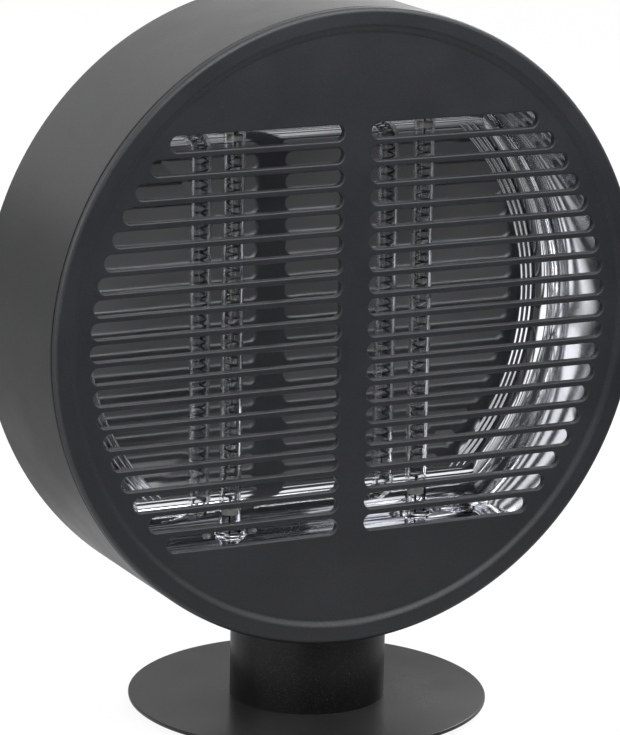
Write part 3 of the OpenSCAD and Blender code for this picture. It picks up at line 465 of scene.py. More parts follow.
def powder_coat_group():
    """Baked powder: orange peel, fine grit, uneven sheen and a little settled dust."""
    speck_colour, dust_colour = (0.16, 0.16, 0.165, 1), (0.33, 0.32, 0.3, 1)
    sheet, given, out = new_group(
        "Powder coat", {"Colour": (0.03, 0.03, 0.03, 1), "Grit": 0.5, "Dust": 0.1}, ("Height",))
    place = sheet.place()
    peel = sheet.noise(place, 1.6, 2.0, 0.45)
    grit = sheet.noise(place, 0.35, 3.0, 0.6)
    cloud = sheet.noise(place, 38, 3.0, 0.55)
    speck = sheet.ramp(sheet.noise(place, 0.5, 1.0, 0.3), 0.62, 0.72)
    dust = sheet.math("MULTIPLY", sheet.ramp(sheet.facing("Z"), 0.25, 0.95), given["Dust"])
    dust = sheet.math("MULTIPLY", dust, sheet.ramp(cloud, 0.3, 0.7, 0.6, 1.0))
    lighter = sheet.blend(sheet.math("MULTIPLY", speck, 0.16), given["Colour"], speck_colour)
    tinted = sheet.add("VectorMath", {"operation": "SCALE"}, Vector=lighter,
                       Scale=sheet.ramp(cloud, 0.25, 0.75, 0.9, 1.12))
    rough = sheet.ramp(cloud, 0.3, 0.7, given["Rough Low"], given["Rough High"])
    sheet.set(out, "Colour", sheet.blend(dust, tinted.outputs[0], dust_colour))
    sheet.set(out, "Roughness", sheet.math("ADD", rough, sheet.math("MULTIPLY", dust, 0.5), True))
    sheet.set(out, "Height", sheet.math("ADD", sheet.math("MULTIPLY", peel, 0.6),
                                        sheet.math("MULTIPLY", grit, given["Grit"])))
    return sheet.tree


def rolled_metal_group():
    """Rolled sheet: faint lines along one way, broad waves and smudged gloss."""
    stain_colour = (0.33, 0.3, 0.27, 1)
    sheet, given, out = new_group(
        "Rolled metal", {"Colour": (0.8, 0.8, 0.8, 1), "Grain X": 40.0, "Grain Z": 900.0,
                         "Stain": 0.2}, ("Grain", "Waves"))
    place = sheet.place()
    scale = sheet.add("CombineXYZ", X=given["Grain X"], Y=300.0, Z=given["Grain Z"]).outputs[0]
    stretched = sheet.vector("MULTIPLY", place, scale)
    grain = sheet.add("TexNoise", Vector=stretched, Scale=1.0, Detail=3.0).outputs["Fac"]
    smudge = sheet.noise(place, 17, 4.0, 0.62)
    stain = sheet.math("MULTIPLY", sheet.ramp(smudge, 0.45, 0.75), given["Stain"])
    mixed = sheet.math("ADD", sheet.math("MULTIPLY", smudge, 0.7),
                       sheet.math("MULTIPLY", grain, 0.3))
    sheet.set(out, "Colour", sheet.blend(stain, given["Colour"], stain_colour))
    sheet.set(out, "Roughness", sheet.ramp(mixed, 0.35, 0.65, given["Rough Low"],
                                           given["Rough High"]))
    sheet.set(out, "Grain", grain)
    sheet.set(out, "Waves", sheet.noise(place, 55, 1.0, 0.4))
    return sheet.tree


def fine_grain_group():
    """Moulded or fired surfaces: a fine leathery grain, soft blotches and handling marks."""
    sheet, given, out = new_group(
        "Fine grain", {"Colour": (0.5, 0.5, 0.5, 1), "Second Colour": (0.4, 0.4, 0.4, 1),
                       "Grain Size": 0.5}, ("Height",))
    place = sheet.place()
    grain = sheet.add("TexVoronoi", {"feature": "SMOOTH_F1"}, Vector=place,
                      Scale=sheet.math("DIVIDE", 1 / MM, given["Grain Size"])).outputs["Distance"]
    blotch = sheet.noise(place, 6, 4.0, 0.6)
    sheet.set(out, "Colour", sheet.blend(sheet.ramp(blotch, 0.35, 0.7), given["Colour"],
                                         given["Second Colour"]))
    sheet.set(out, "Roughness", sheet.ramp(blotch, 0.3, 0.7, given["Rough Low"],
                                           given["Rough High"]))
    sheet.set(out, "Height", sheet.math("ADD", grain, sheet.math("MULTIPLY", blotch, 0.3)))
    return sheet.tree


def new_material(name, **fixed):
    """A material with a Principled BSDF, whose same-everywhere values are on its own sockets."""
    material = bpy.data.materials.new(name)
    material.use_nodes = True
    sheet, shader = Sheet(material.node_tree), material.node_tree.nodes["Principled BSDF"]
    for socket, value in fixed.items():
        sheet.set(shader, socket.replace("_", " "), value)
    return material, sheet, shader


def new_finish(name, **fixed):
    FINISHES[name], sheet, shader = new_material(name + "_finish", **fixed)
    return sheet, shader


def from_group(name, group, fixed, colour, low, high, **values):
    """A finish whose colour and roughness, between low and high, come from a shared group."""
    sheet, shader = new_finish(name, **fixed)
    given = sheet.add("Group", {"node_tree": group}, Colour=(*colour, 1), Rough_Low=low,
                      Rough_High=high, **values).outputs
    sheet.set(shader, "Base Color", given["Colour"])
    sheet.set(shader, "Roughness", given["Roughness"])
    return sheet, shader, given


def painted(name, group, colour, grit, dust, low, high, depth, gloss, painted_light_behind=None):
    """Powder-coated metal; behind the given depth a lighter grey paints in the light that the
    mirror throws back.
    """
    painted_back_light, fade = (0.1, 0.1, 0.105, 1), 0.1 * MM
    sheet, shader, coat = from_group(name, group, {"Specular_IOR_Level": gloss}, colour, low, high,
                                     Grit=grit, Dust=dust)
    if painted_light_behind is not None:
        # Painted light: the cover's back faces get a lighter grey in place of the light that the
        # mirror reflects onto them.
        inside = sheet.ramp(sheet.part(sheet.place(), "Y"), painted_light_behind - fade, painted_light_behind)
        sheet.set(shader, "Base Color", sheet.blend(inside, coat["Colour"], painted_back_light))
    sheet.bump(shader, coat["Height"], depth)


def metal(name, group, colour, low, high, stain, depth, waves, grain):
    sheet, shader, rolled = from_group(name, group, {"Metallic": 1.0}, colour, low, high,
                                       Grain_X=grain[0], Grain_Z=grain[1], Stain=stain)
    normal = sheet.bump(shader, rolled["Grain"], depth) if depth else None
    if waves:
        sheet.bump(shader, rolled["Waves"], waves, normal)


def moulded(name, group, colour, second, low, high, size, depth):
    sheet, shader, grain = from_group(name, group, {}, colour, low, high, Grain_Size=size,
                                      Second_Colour=(*second, 1))
    sheet.bump(shader, grain["Height"], depth)
    return sheet, shader, grain


def quartz_finish():
    """Clear fused quartz with faint drawing lines."""
    clear, hazy = (0.97, 0.98, 0.99, 1), (0.86, 0.88, 0.9, 1)
    sheet, shader = new_finish("quartz", Metallic=0.0, IOR=1.458, Transmission_Weight=1.0)
    along = sheet.add("Mapping", Vector=sheet.place(), Scale=(1, 1, 0.02)).outputs[0]
    haze = sheet.noise(sheet.place(), 14, 3.0)
    sheet.set(shader, "Base Color", sheet.blend(sheet.ramp(haze, 0.4, 0.75), clear, hazy))
    sheet.set(shader, "Roughness", sheet.ramp(haze, 0.3, 0.8, 0.0, 0.06))
    sheet.bump(shader, sheet.noise(along, 0.9, 2.0), 0.02)


def coil_finish():
    """Resistance wire browned and blued by its first heating."""
    browned, blued = (0.03, 0.026, 0.025, 1), (0.085, 0.075, 0.07, 1)
    sheet, shader = new_finish("coil_wire", Metallic=0.5)
    place = sheet.place()
    oxide = sheet.noise(place, 1.4, 4.0, 0.6)
    sheet.set(shader, "Base Color", sheet.blend(sheet.ramp(oxide, 0.35, 0.7), browned, blued))
    sheet.set(shader, "Roughness", sheet.ramp(oxide, 0.3, 0.7, 0.62, 0.4))
    sheet.bump(shader, sheet.noise(place, 0.12, 2.0), 0.03)


def striped_insulation(group):
    """Green insulation with a yellow stripe along it."""
    yellow = (0.62, 0.5, 0.03, 1)
    sheet, shader, grain = moulded("green_yellow_insulation", group, *GREEN_INSULATION)
    stripe = sheet.ramp(sheet.facing("X"), -0.2, -0.12)
    sheet.set(shader, "Base Color", sheet.blend(stripe, yellow, grain["Colour"]))


class HEATER_PG_colours(bpy.types.PropertyGroup):
    """Colours of the finishes that show most."""

    cover: tint("Front cover", "Powder coat of the front cover", (0.0155, 0.0163, 0.0195))
    drum: tint("Drum", "Powder coat of the drum and rear cover", (0.018, 0.0185, 0.0195))
    # Column and base are set darker than the drum; part of that darkness is painted shade from the
    # head above them.
    column: tint("Column", "Powder coat of the column", (0.006, 0.006, 0.0067))
    base: tint("Base", "Powder coat of the base disc", (0.005, 0.005, 0.0056))


class HEATER_OT_finishes(bpy.types.Operator):
    """Make every finish and give it to the frame's nodes"""

    bl_idname = "heater.finishes"
    bl_label = "Finishes"

    def execute(self, context):
        coat, rolled, grain = powder_coat_group(), rolled_metal_group(), fine_grain_group()
        for name, values in PAINTS.items():
            # The front cover's back faces get a lighter grey, painted light from the mirror behind
            # them.
            painted(name + "_paint", coat, getattr(context.scene.heater_colours, name), *values,
                    painted_light_behind=COVER_BACK if name == "cover" else None)
        for name, values in METALS.items():
            metal(name, rolled, *values)
        for name, values in MOULDED.items():
            moulded(name, grain, *values)
        quartz_finish()
        coil_finish()
        striped_insulation(grain)
        for node in frame["nodes"].values():
            for slot in node.material_slots:
                slot.material = FINISHES[slot.material.name.split(".")[0]]
        return {"FINISHED"}


# Studio

CAMERA_AIM = Vector((-0.0206, -0.0394, 0.1860))

# Each lamp's place, the point that it faces, and its two sides in metres
LAMPS = {
    "top_softbox": ((0.15, -0.52, 0.86), (0, 0, 0.3), (0.9, 0.5)),
    "left_softbox": ((-1.3, -0.1, 0.75), (0, 0, 0.2), (0.5, 0.9)),
    "rear_softbox": ((1.2, 0.9, 1.1), (0, 0, 0.2), (1.0, 0.7)),
}


class HEATER_PG_studio(bpy.types.PropertyGroup):
    """The camera, floor and light."""

    azimuth: angle("Camera azimuth", "Camera's turn round the heater", 26.083)
    elevation: angle("Camera elevation", "Camera's height angle", 13.681)
    roll: angle("Camera roll", "Camera's turn about its own axis", 1.021)
    distance: length("Camera distance", "From the camera to its aim", 1.952)
    lens: FloatProperty(name="Lens", description="Focal length on a 36 mm high frame",
                        unit="CAMERA", default=194.6)
    floor_colour: tint("Floor", "Colour of the floor", (0.45, 0.45, 0.45))
    sky: level("Sky level", "Strength of the light from above", 0.95)
    top_softbox: level("Top softbox", "Power of the lamp above, in watts", 7.5)
    left_softbox: level("Left softbox", "Power of the left lamp, in watts", 7.0)
    rear_softbox: level("Rear softbox", "Power of the rear lamp, in watts", 16.0)
    front_card: level("Front cards", "Brightness of the front cards", 0.06)
    back_card: level("Back cards", "Brightness of the back cards", 0.42)
    left_card: level("Left cards", "Brightness of the left cards", 1.2)
    near_card: level("Near card", "Brightness of the card underneath", 0.65)


def see_background(sheet):
    """1 where a camera, mirror or glass ray looks at the studio itself."""
    path = sheet.add("LightPath").outputs
    seen = sheet.math("MAXIMUM", path["Is Camera Ray"], path["Is Glossy Ray"])
    return sheet.math("MAXIMUM", seen, path["Is Transmission Ray"])


def build_world(strength):
    """White to the eye, and a soft gradient, brighter above, for the light that it gives."""
    world = bpy.data.worlds.new("Studio")
    bpy.context.scene.world = world
    world.use_nodes = True
    world.node_tree.nodes.clear()
    sheet = Sheet(world.node_tree)
    up = sheet.math("MULTIPLY", sheet.facing("Z"), -1.0)
    height = sheet.ramp(up, -0.1, 0.9, 0.25 * strength, 1.3 * strength)
    light = sheet.add("Background", Color=WHITE, Strength=height)
    white = sheet.add("Background", Color=WHITE, Strength=1.0)
    sheet.add("OutputWorld", Surface=sheet.mix_shaders(see_background(sheet), light, white))


def build_floor(colour):
    """A wide pale floor that keeps the heater's shadow and fades to white."""
    deselect()
    bpy.ops.mesh.primitive_circle_add(vertices=96, radius=9.0, fill_type="NGON",
                                      location=(0, 0, 0))
    floor = bpy.context.object
    floor.name = "studio_floor"
    paint, sheet, shader = new_material("Floor paint", Roughness=0.9, Specular_IOR_Level=0.1)
    mottle = sheet.ramp(sheet.noise(sheet.place(), 9, 3.0), 0.3, 0.7)
    dull = sheet.blend(mottle, (*colour, 1), (*[c * 0.985 for c in colour], 1))
    sheet.set(shader, "Base Color", sheet.blend(see_background(sheet), dull, (0.9, 0.9, 0.9, 1)))
    glow = sheet.add("Emission", Color=WHITE, Strength=1.0)
    shown = sheet.mix_shaders(sheet.math("MULTIPLY", see_background(sheet), 0.92), shader, glow)
    sheet.set(paint.node_tree.nodes["Material Output"], "Surface", shown)
    floor.data.materials.append(paint)


def towards(sheet, place, turn):
    """How nearly a place lies in one direction from the middle, 1 where it lies there."""
    unit = sheet.vector("NORMALIZE", sheet.vector("MULTIPLY", place, (1, 1, 0)))
    return sheet.vector("DOT_PRODUCT", unit, (cos(radians(turn)), sin(radians(turn)), 0))


def dim_surround(front, back, left, near):
    """A low ring of cards that only gloss and glass see, dim in front and bright at the left."""
    card = lathe("dim_surround", [(0.05, 0.002), (0.2, 0.002), (0.8, 0.002), (0.8, 0.36)],
                 (0, 0, 0), "Z", TUBE_STEPS)
    cloth, sheet, _ = new_material("Card cloth")
    place = sheet.place()
    folds = sheet.ramp(sheet.noise(place, 160, 2.0), 0.35, 0.65, 0.6, 1.4)
    shade = sheet.ramp(sheet.part(place, "Y"), -0.4, 0.3, front, back)
    away = sheet.vector("LENGTH", place)
    shade = sheet.math("MAXIMUM", shade, sheet.ramp(away, 0.28, 0.5, near, 0.0))
    shade = sheet.math("MULTIPLY", shade, folds)
    panel = sheet.math("MULTIPLY", sheet.ramp(towards(sheet, place, 202), 0.78, 0.9), left)
    glow = sheet.add("Emission", Color=WHITE, Strength=sheet.math("MAXIMUM", shade, panel))
    sheet.set(cloth.node_tree.nodes["Material Output"], "Surface", glow.outputs[0])
    card.data.materials.append(cloth)
    for kind in ("camera", "diffuse", "shadow", "volume_scatter"):
        setattr(card, "visible_" + kind, False)


def soft_lamp(name, watts, place, aim, size):
    deselect()
    bpy.ops.object.light_add(type="AREA", location=place)
    lamp = bpy.context.object
    lamp.name = name
    lamp.rotation_euler = (Vector(aim) - Vector(place)).to_track_quat("-Z", "Y").to_euler()
    lamp.data.shape = "RECTANGLE"
    lamp.data.size, lamp.data.size_y = size
    lamp.data.energy = watts


class HEATER_OT_studio(bpy.types.Operator):
    """Set the camera, floor, world and soft lamps"""

    bl_idname = "heater.studio"
    bl_label = "Studio"

    def execute(self, context):
        studio = context.scene.heater_studio
        deselect()
        turn = (Matrix.Rotation(-studio.azimuth, 4, "Z")
                @ Matrix.Rotation(pi / 2 - studio.elevation, 4, "X")
                @ Matrix.Rotation(studio.roll, 4, "Z"))
        bpy.ops.object.camera_add()
        camera = context.object
        camera.matrix_world = Matrix.Translation(CAMERA_AIM) @ turn @ Matrix.Translation(
            (0, 0, studio.distance))
        camera.data.sensor_fit = "VERTICAL"
        camera.data.sensor_height = 36.0
        camera.data.lens = studio.lens
        camera.data.clip_end = 50.0
        context.scene.camera = camera
        context.scene.view_settings.view_transform = "Standard"
        build_world(studio.sky)
        build_floor(studio.floor_colour)
        dim_surround(studio.front_card, studio.back_card, studio.left_card, studio.near_card)
        for name, setting in LAMPS.items():
            soft_lamp(name, getattr(studio, name), *setting)
        return {"FINISHED"}


# Front cover


class HEATER_PG_cover(bpy.types.PropertyGroup):
    """Sizes of the slotted front cover."""

    rows: IntProperty(name="Rows", description="Rows of slots", default=19, min=3, max=19)
    pitch: length("Pitch", "From one row to the next", 11 * MM)
    height: length("Slot height", "Height of a slot", 8 * MM)
    bar: length("Centre bar", "Width of the bar between the columns", 15 * MM)
    field: length("Field radius", "Circle on which the slots end", 140.4 * MM)
    lip: length("Slot lip", "Rounding of a slot's front edge", 0.8 * MM)


def slot_mouth(height, bar, lip, outer, inner):
    """One slot's wall with rounded lips, as a round tube at its inner end, ready to stretch."""
    steps, flat = 24, 0.15 * MM
    half, hem, depth = height / 2, 0.5 * lip, abs(inner - outer)
    profile = [(half + lip + flat, 0)] + arc(half + lip, lip, lip, 270, 180, 5)
    profile += arc(half + hem, depth - hem, hem, 180, 90, 3) + [(half + hem + flat, depth)]
    centre = Vector((bar / 2 + half, 0, HEAD_Z))
    way = copysign(1, inner - outer)
    wall = [(r, outer + way * a) for r, a in profile]
    return lathe("slot", wall, centre, "Y", steps, pi / steps), centre


def slots(rows, height, bar, field, lip, outer, inner):
    """Rows of two slots: one mouth, copied row by row, pulled out to its length and mirrored."""
    first, centre = slot_mouth(height, bar, lip, outer, inner)
    made = []
    for up in rows:
        reach = sqrt(field ** 2 - up ** 2) - bar / 2 - height
        slot = copy_of(first, "slot_row", (0, 0, up))
        edit(slot)
        pick(slot, "VERT", lambda vert: vert.co.x > centre.x)
        bpy.ops.transform.translate(value=(reach, 0, 0))
        leave_edit()
        made.append(slot)
    remove(first)
    right = joined("slots_right", made)
    left = copy_of(right, "slots_left")
    edit(left)
    bpy.ops.transform.mirror(constraint_axis=(True, False, False), center_override=(0, 0, 0))
    leave_edit()
    return joined("slots", [right, left])


def fill_between(plate, depths):
    """Fills the flat faces of a plate, between its rim and its slots, at each depth."""
    for depth in depths:
        edit(plate)
        bpy.ops.mesh.remove_doubles(threshold=SAME_PLACE)
        pick(plate, "EDGE", lambda edge: edge.is_boundary
             and all(abs(vert.co.y - depth) < 10 * SAME_PLACE for vert in edge.verts))
        bpy.ops.mesh.fill(use_beauty=True)
        leave_edit()
    return plate


class HEATER_OT_front_cover(bpy.types.Operator):
    """Model the rimmed, slotted front cover"""

    bl_idname = "heater.front_cover"
    bl_label = "Front cover"

    def execute(self, context):
        sizes = context.scene.heater_cover
        rim_front, edge, chamfer = COVER_LOW.y, 2.6 * MM, 0.3 * MM
        sink, step, step_points = 2 * MM, 4.8 * MM, 16
        plate_front, plate_back = rim_front + sink, COVER_BACK
        rim_in = DRUM_R - 8 * MM
        skirt_r, skirt_end = DRUM_R - 4.2 * MM, COVER_HIGH.y - 0.5 * MM
        skirt_in, plate_r = skirt_r - 2.5 * MM, rim_in - step
        profile = [(plate_r, plate_front)]
        for t in [i / step_points for i in range(step_points - 1, -1, -1)]:
            profile.append((rim_in - step * t, rim_front + sink * (1 - cos(pi * t)) / 2))
        profile += arc(DRUM_R - edge, rim_front + edge, edge, 270, 360, 10)
        seam = SEAM_Y - SEAM_GAP / 2
        profile += [(DRUM_R, seam - chamfer), (DRUM_R - chamfer, seam), (skirt_r, seam),
                    (skirt_r, skirt_end), (skirt_in, skirt_end), (skirt_in, plate_back),
                    (plate_r, plate_back)]
        ring = lathe("cover_ring", profile, HEAD, "Y", PLATE_STEPS)
        hole_r, boss_r, boss_steps, screw_circle = 1.95 * MM, 4 * MM, 32, 150.3 * MM
        root = plate_back - 0.5 * MM
        boss = lathe("boss", [(hole_r, root), (boss_r, root), (boss_r, COVER_HIGH.y),
                              (hole_r, COVER_HIGH.y), (hole_r, root)], HEAD, "Y", boss_steps)
        bosses = [copy_of(boss, "boss_copy", (x, 0, z)) for x, z in four_corners(screw_circle)]
        remove(boss)
        rows = [(row - (sizes.rows - 1) / 2) * sizes.pitch for row in range(sizes.rows)]
        grille = slots(rows, sizes.height, sizes.bar, sizes.field, sizes.lip, plate_front,
                       plate_back)
        cover = fill_between(joined("front_cover_finished", [ring, grille]),
                             (plate_front, plate_back))
        cover = joined("front_cover_finished", [cover] + bosses)
        finish_piece(settle(cover), "cover_paint", ["front_cover"])
        return {"FINISHED"}


# Reflector


def dish_block(name, mouth_r, back_r, flat_r, back, lip, ledge, fillet, out):
    """The dish as a solid: its turned form, cut flat by rounded ledges above and below."""
    run, depth = mouth_r - back_r + out, back + out - lip
    profile = [(0, back + out), (flat_r, back + out)]
    ridges, rise, ridge_points, wall_points = 3, 0.9 * MM, 12, 24
    for i in range(1, ridge_points * ridges):
        t = i / (ridge_points * ridges)
        profile.append((flat_r + (back_r - flat_r) * t,
                        back + out - rise * (1 - cos(tau * ridges * t)) / 2))
    for i in range(wall_points + 1):
        t = pi / 2 * i / wall_points
        profile.append((back_r + run * sin(t), back + out - depth * (1 - cos(t))))
    front, spare = lip - 2 * MM, 0.02 * MM
    profile += [(mouth_r + out, front), (0, front)]
    dish = lathe(name, profile, HEAD, "Y", DISH_STEPS)
    bar = block(HEAD)
    edit(bar)
    low, high = lip - 5 * MM, back + out + spare
    bpy.ops.transform.resize(value=(3 * mouth_r, high - low, 2 * (ledge + out)))
    bpy.ops.transform.translate(value=(0, (low + high) / 2, 0))
    pick(bar, "EDGE", lambda edge: all(vert.co.y > 0 for vert in edge.verts)
         and abs(edge.verts[0].co.z - edge.verts[1].co.z) < MM)
    bpy.ops.mesh.bevel(offset=fillet + out, segments=20, affect="EDGES")
    leave_edit()
    bpy.ops.object.transform_apply()
    return cut_with(dish, bar, "INTERSECT")


class HEATER_OT_reflector(bpy.types.Operator):
    """Model the bright dish with its ridges, ledges and collared tube holes"""

    bl_idname = "heater.reflector"
    bl_label = "Reflector"

    def execute(self, context):
        wall, lip_w, lip, fillet = 0.8 * MM, 1.8 * MM, MIRROR_LOW.y, 22 * MM
        mouth_r = (MIRROR_HIGH.x - MIRROR_LOW.x) / 2 - lip_w
        back_r, back = mouth_r - 16 * MM, MIRROR_HIGH.y - wall
        flat_r, ledge = back_r - 8 * MM, mouth_r - 38 * MM
        form = (mouth_r, back_r, flat_r, back, lip, ledge, fillet)
        sheet = dish_block("reflector_finished", *form, wall)
        cut_with(sheet, dish_block("dish_hollow", *form, 0.0))
        cut_with(sheet, block((0, lip - 5 * MM, HEAD_Z), (1.0, 10 * MM, 1.0)))
        holes, collars = [], []
        hole_r, deep, top, flare = TUBE_R + 1.6 * MM, 4 * MM, -2 * MM, 1.2 * MM
        rim = [(hole_r, 0.7 * MM), (hole_r, top + wall / 2)]
        rim += arc(hole_r + wall / 2, top + wall / 2, wall / 2, 180, 360, 6)
        rim += arc(hole_r + wall + flare, -flare, flare, 180, 90, 5)
        rim += [(hole_r + wall + flare, 0.2 * MM), (hole_r, 0.7 * MM)]
        for x in (-TUBE_X, TUBE_X):
            for up in (-1, 1):
                place = (x, TUBE_Y, HEAD_Z + up * ledge)
                holes.append(lathe("hole", [(0, -deep), (hole_r, -deep), (hole_r, deep),
                                            (0, deep)], place, "Z", HOLE_STEPS))
                collar = [(r, a * up) for r, a in rim]
                collars.append(lathe("collar", collar, place, "Z", HOLE_STEPS))
        cut_with(sheet, joined("holes", holes))
        front, near_r, far_r = lip + 0.02 * MM, mouth_r + wall / 2, mouth_r + lip_w
        flange = lathe("lip_flange", [(near_r, front), (far_r, front), (far_r, lip + wall),
                                      (near_r, lip + wall), (near_r, front)],
                       HEAD, "Y", DISH_STEPS)
        cut_with(flange, block((0, lip, HEAD_Z), (1.0, 20 * MM, 2 * (ledge + lip_w))), "INTERSECT")
        whole = joined("reflector_finished", [sheet, flange] + collars)
        finish_piece(settle(whole, 25), "mirror_aluminium", ["reflector"])
        return {"FINISHED"}


# Heating tubes


class HEATER_OT_tubes(bpy.types.Operator):
    """Model the two quartz tubes with fire-polished ends"""

    bl_idname = "heater.tubes"
    bl_label = "Quartz tubes"

    def execute(self, context):
        wall = 1.2 * MM
        low, high, edge = -TUBE_HALF, TUBE_HALF, wall / 2
        profile = arc(TUBE_R - edge, low + edge, edge, 270, 360, 4)
        profile += [(TUBE_R, z) for z in (0.5 * low, 0, 0.5 * high)]
        profile += arc(TUBE_R - edge, high - edge, edge, 0, 180, 8)
        profile += [(TUBE_R - wall, z) for z in (0.5 * high, 0, 0.5 * low)]
        profile += arc(TUBE_R - edge, low + edge, edge, 180, 270, 4)
        for side, x in (("left", -TUBE_X), ("right", TUBE_X)):
            node = "quartz_tube_" + side
            tube = lathe(node + "_finished", profile, (x, TUBE_Y, HEAD_Z), "Z", TUBE_STEPS)
            finish_piece(settle(tube, 60), "quartz", [node])
        return {"FINISHED"}


class HEATER_PG_coil(bpy.types.PropertyGroup):
    """Sizes of the heating coils."""

    curls: IntProperty(name="Curls", description="Curls of one coil", default=44, min=10, max=60)
    mean_r: length("Mean radius", "Radius of the wire's centre line", 3.05 * MM)
    wire_r: length("Wire radius", "Radius of the wire", 0.55 * MM)
    half: length("Half length", "Half the length of the curled part", 88 * MM)


class HEATER_OT_filaments(bpy.types.Operator):
    """Wind the two heating coils, each one unbroken wire with straight leads"""

    bl_idname = "heater.filaments"
    bl_label = "Heating coils"

    def execute(self, context):
        coil = context.scene.heater_coil
        rings = 16
        count, rise = coil.curls * rings, rings / 2
        lead = Vector((0, 0, coil.half + 2.2 * MM))
        for side, x in (("left", -TUBE_X), ("right", TUBE_X)):
            node = "filament_" + side
            low, high = (corner.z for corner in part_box(node))
            centre = Vector((x, TUBE_Y, HEAD_Z))
            points = [Vector((x, TUBE_Y, low)), centre - lead]
            for k in range(count + 1):
                turn = tau * k / rings
                r = coil.mean_r * min(1, k / rise, (count - k) / rise)
                points.append(centre + Vector((r * cos(turn), -r * sin(turn),
                                               coil.half * (2 * k / count - 1))))
            points += [centre + lead, Vector((x, TUBE_Y, high))]
            wire = tube_through(node + "_finished", points, coil.wire_r, 3)
            finish_piece(wire, "coil_wire", [node])
        return {"FINISHED"}


# Wires

# Depths behind the seam, heights and widths that the wires' routes share, in millimetres
WIRE_R = 1.3
TUBE_DEPTH = -28.8
CHASSIS_FRONT, CHASSIS_BACK = -48.8, -50.0
WIRE_RUN = CHASSIS_BACK - 4
CAP_OUT, WIRE_OVER = 130.3, 139.3
BLOCK_TOP, BLOCK_DEPTH, BLOCK_WAY = -79.7, -59.0, 9.6
BLADE_DEPTH, SWITCH_UP, SWITCH_X, BLADE_HALF = -67.8, -45.0, 14.0, 3.4
CUTOUT_X, CUTOUT_UP, CUTOUT_DEPTH = 48.0, 30.0, CHASSIS_BACK - 14
TILT_X, TILT_UP, TILT_DEPTH = -56.0, 9.3, CHASSIS_BACK - 9
CUTOUT_BLADE, TILT_EAR = Vector((4.7, 0, 0)), Vector((10.3, 0, 0))
SCREW_END = 111.9


def insulated(node, routes, finish):
    """Wires of one kind, each through points given in millimetres from the seam's middle."""
    made = []
    for route in routes:
        points = [on_face(x * MM, up * MM, depth * MM) for x, up, depth in smooth_route(route)]
        made.append(tube_through("wire", points, WIRE_R * MM, 2))
    finish_piece(joined(node + "_finished", made), finish, [node])


def block_end(way):
    return Vector(((way - 2) * BLOCK_WAY, BLOCK_TOP, BLOCK_DEPTH))


def blade_end(side, place, hand):
    return Vector((side * SWITCH_X + hand * BLADE_HALF, SWITCH_UP + 6 * place, BLADE_DEPTH))


def out_of_tube(x, up):
    """A wire's way from a tube's end, over the reflector's ledge and through the chassis."""
    over = up * WIRE_OVER
    return [(x, up * (CAP_OUT - 4), TUBE_DEPTH), (x, up * (CAP_OUT + 2), TUBE_DEPTH),
            (x, over - up * 5, TUBE_DEPTH), (x, over, TUBE_DEPTH - 6),
            (x, over, CHASSIS_FRONT + 5), (x, over, CHASSIS_BACK - 3), (x, over, CHASSIS_BACK - 7)]


class HEATER_OT_wires(bpy.types.Operator):
    """Lay the tube wires, control wires and earth wire"""

    bl_idname = "heater.wires"
    bl_label = "Wires"

    def execute(self, context):
        ahead = Vector((0, 8, 0))
        tube_routes = []
        for side, way in ((-1, 0), (1, 4)):
            x, blade = side * TUBE_X / MM, blade_end(side, -1, side)
            tube_routes.append(out_of_tube(x, 1) + [
                (x - side * 10, WIRE_OVER - 16, WIRE_RUN - 8),
                (side * 31, CUTOUT_UP + 50, WIRE_RUN - 2), (side * 28, -30, WIRE_RUN - 2),
                block_end(way) + ahead, block_end(way)])
            tube_routes.append(out_of_tube(x, -1) + [
                (x - side * 6, 20 - WIRE_OVER, WIRE_RUN - 10), (side * 38, -90, WIRE_RUN - 8),
                (side * 34, SWITCH_UP - 20, BLADE_DEPTH + 5), blade + Vector((side * 7, 0, 0)),
                blade])
        insulated("tube_wires", tube_routes, "white_sleeve")
        cutout_in, cutout_out = (Vector((CUTOUT_X, CUTOUT_UP, CUTOUT_DEPTH)) + hand * CUTOUT_BLADE
                                 for hand in (-1, 1))
        tilt_in, tilt_out = (Vector((TILT_X, TILT_UP, TILT_DEPTH)) + hand * TILT_EAR
                             for hand in (1, -1))
        left_blade = blade_end(-1, 0, -1)
        control_routes = [
            [block_end(3), block_end(3) + ahead, (20, -10, WIRE_RUN - 6),
             (CUTOUT_X - 14, CUTOUT_UP - 8, CUTOUT_DEPTH), cutout_in - Vector((4, 0, 0)),
             cutout_in],
            [cutout_out, cutout_out + Vector((5, 2, 0)),
             (CUTOUT_X + 8, CUTOUT_UP + 20, CUTOUT_DEPTH), (20, 62, WIRE_RUN - 11),
             (-16, 46, WIRE_RUN - 9), (-30, 24, WIRE_RUN - 5), tilt_in + Vector((8, 0, 0)),
             tilt_in],
            [tilt_out, tilt_out - Vector((6, 0, 0)), tilt_out - Vector((10, 10, 0)),
             (TILT_X - 22, -20, WIRE_RUN - 4), (TILT_X - 4, -46, WIRE_RUN - 4),
             (-36, SWITCH_UP - 6, BLADE_DEPTH), left_blade - Vector((5, 0, 0)), left_blade],
            [blade_end(-1, 0, 1), (0, SWITCH_UP, BLADE_DEPTH), blade_end(1, 0, -1)]]
        insulated("control_wires", control_routes, "red_insulation")
        flat = CHASSIS_BACK - WIRE_R - 0.1
        earth_route = [block_end(2), block_end(2) + ahead, (-2, -20, WIRE_RUN - 4),
                       (4, 40, WIRE_RUN - 4), (18, SCREW_END - 26, WIRE_RUN - 2),
                       (33, SCREW_END - 12, flat - 0.4), (35, SCREW_END - 6, flat),
                       (35, SCREW_END, flat)]
        insulated("earth_wire", [earth_route], "green_yellow_insulation")
        return {"FINISHED"}


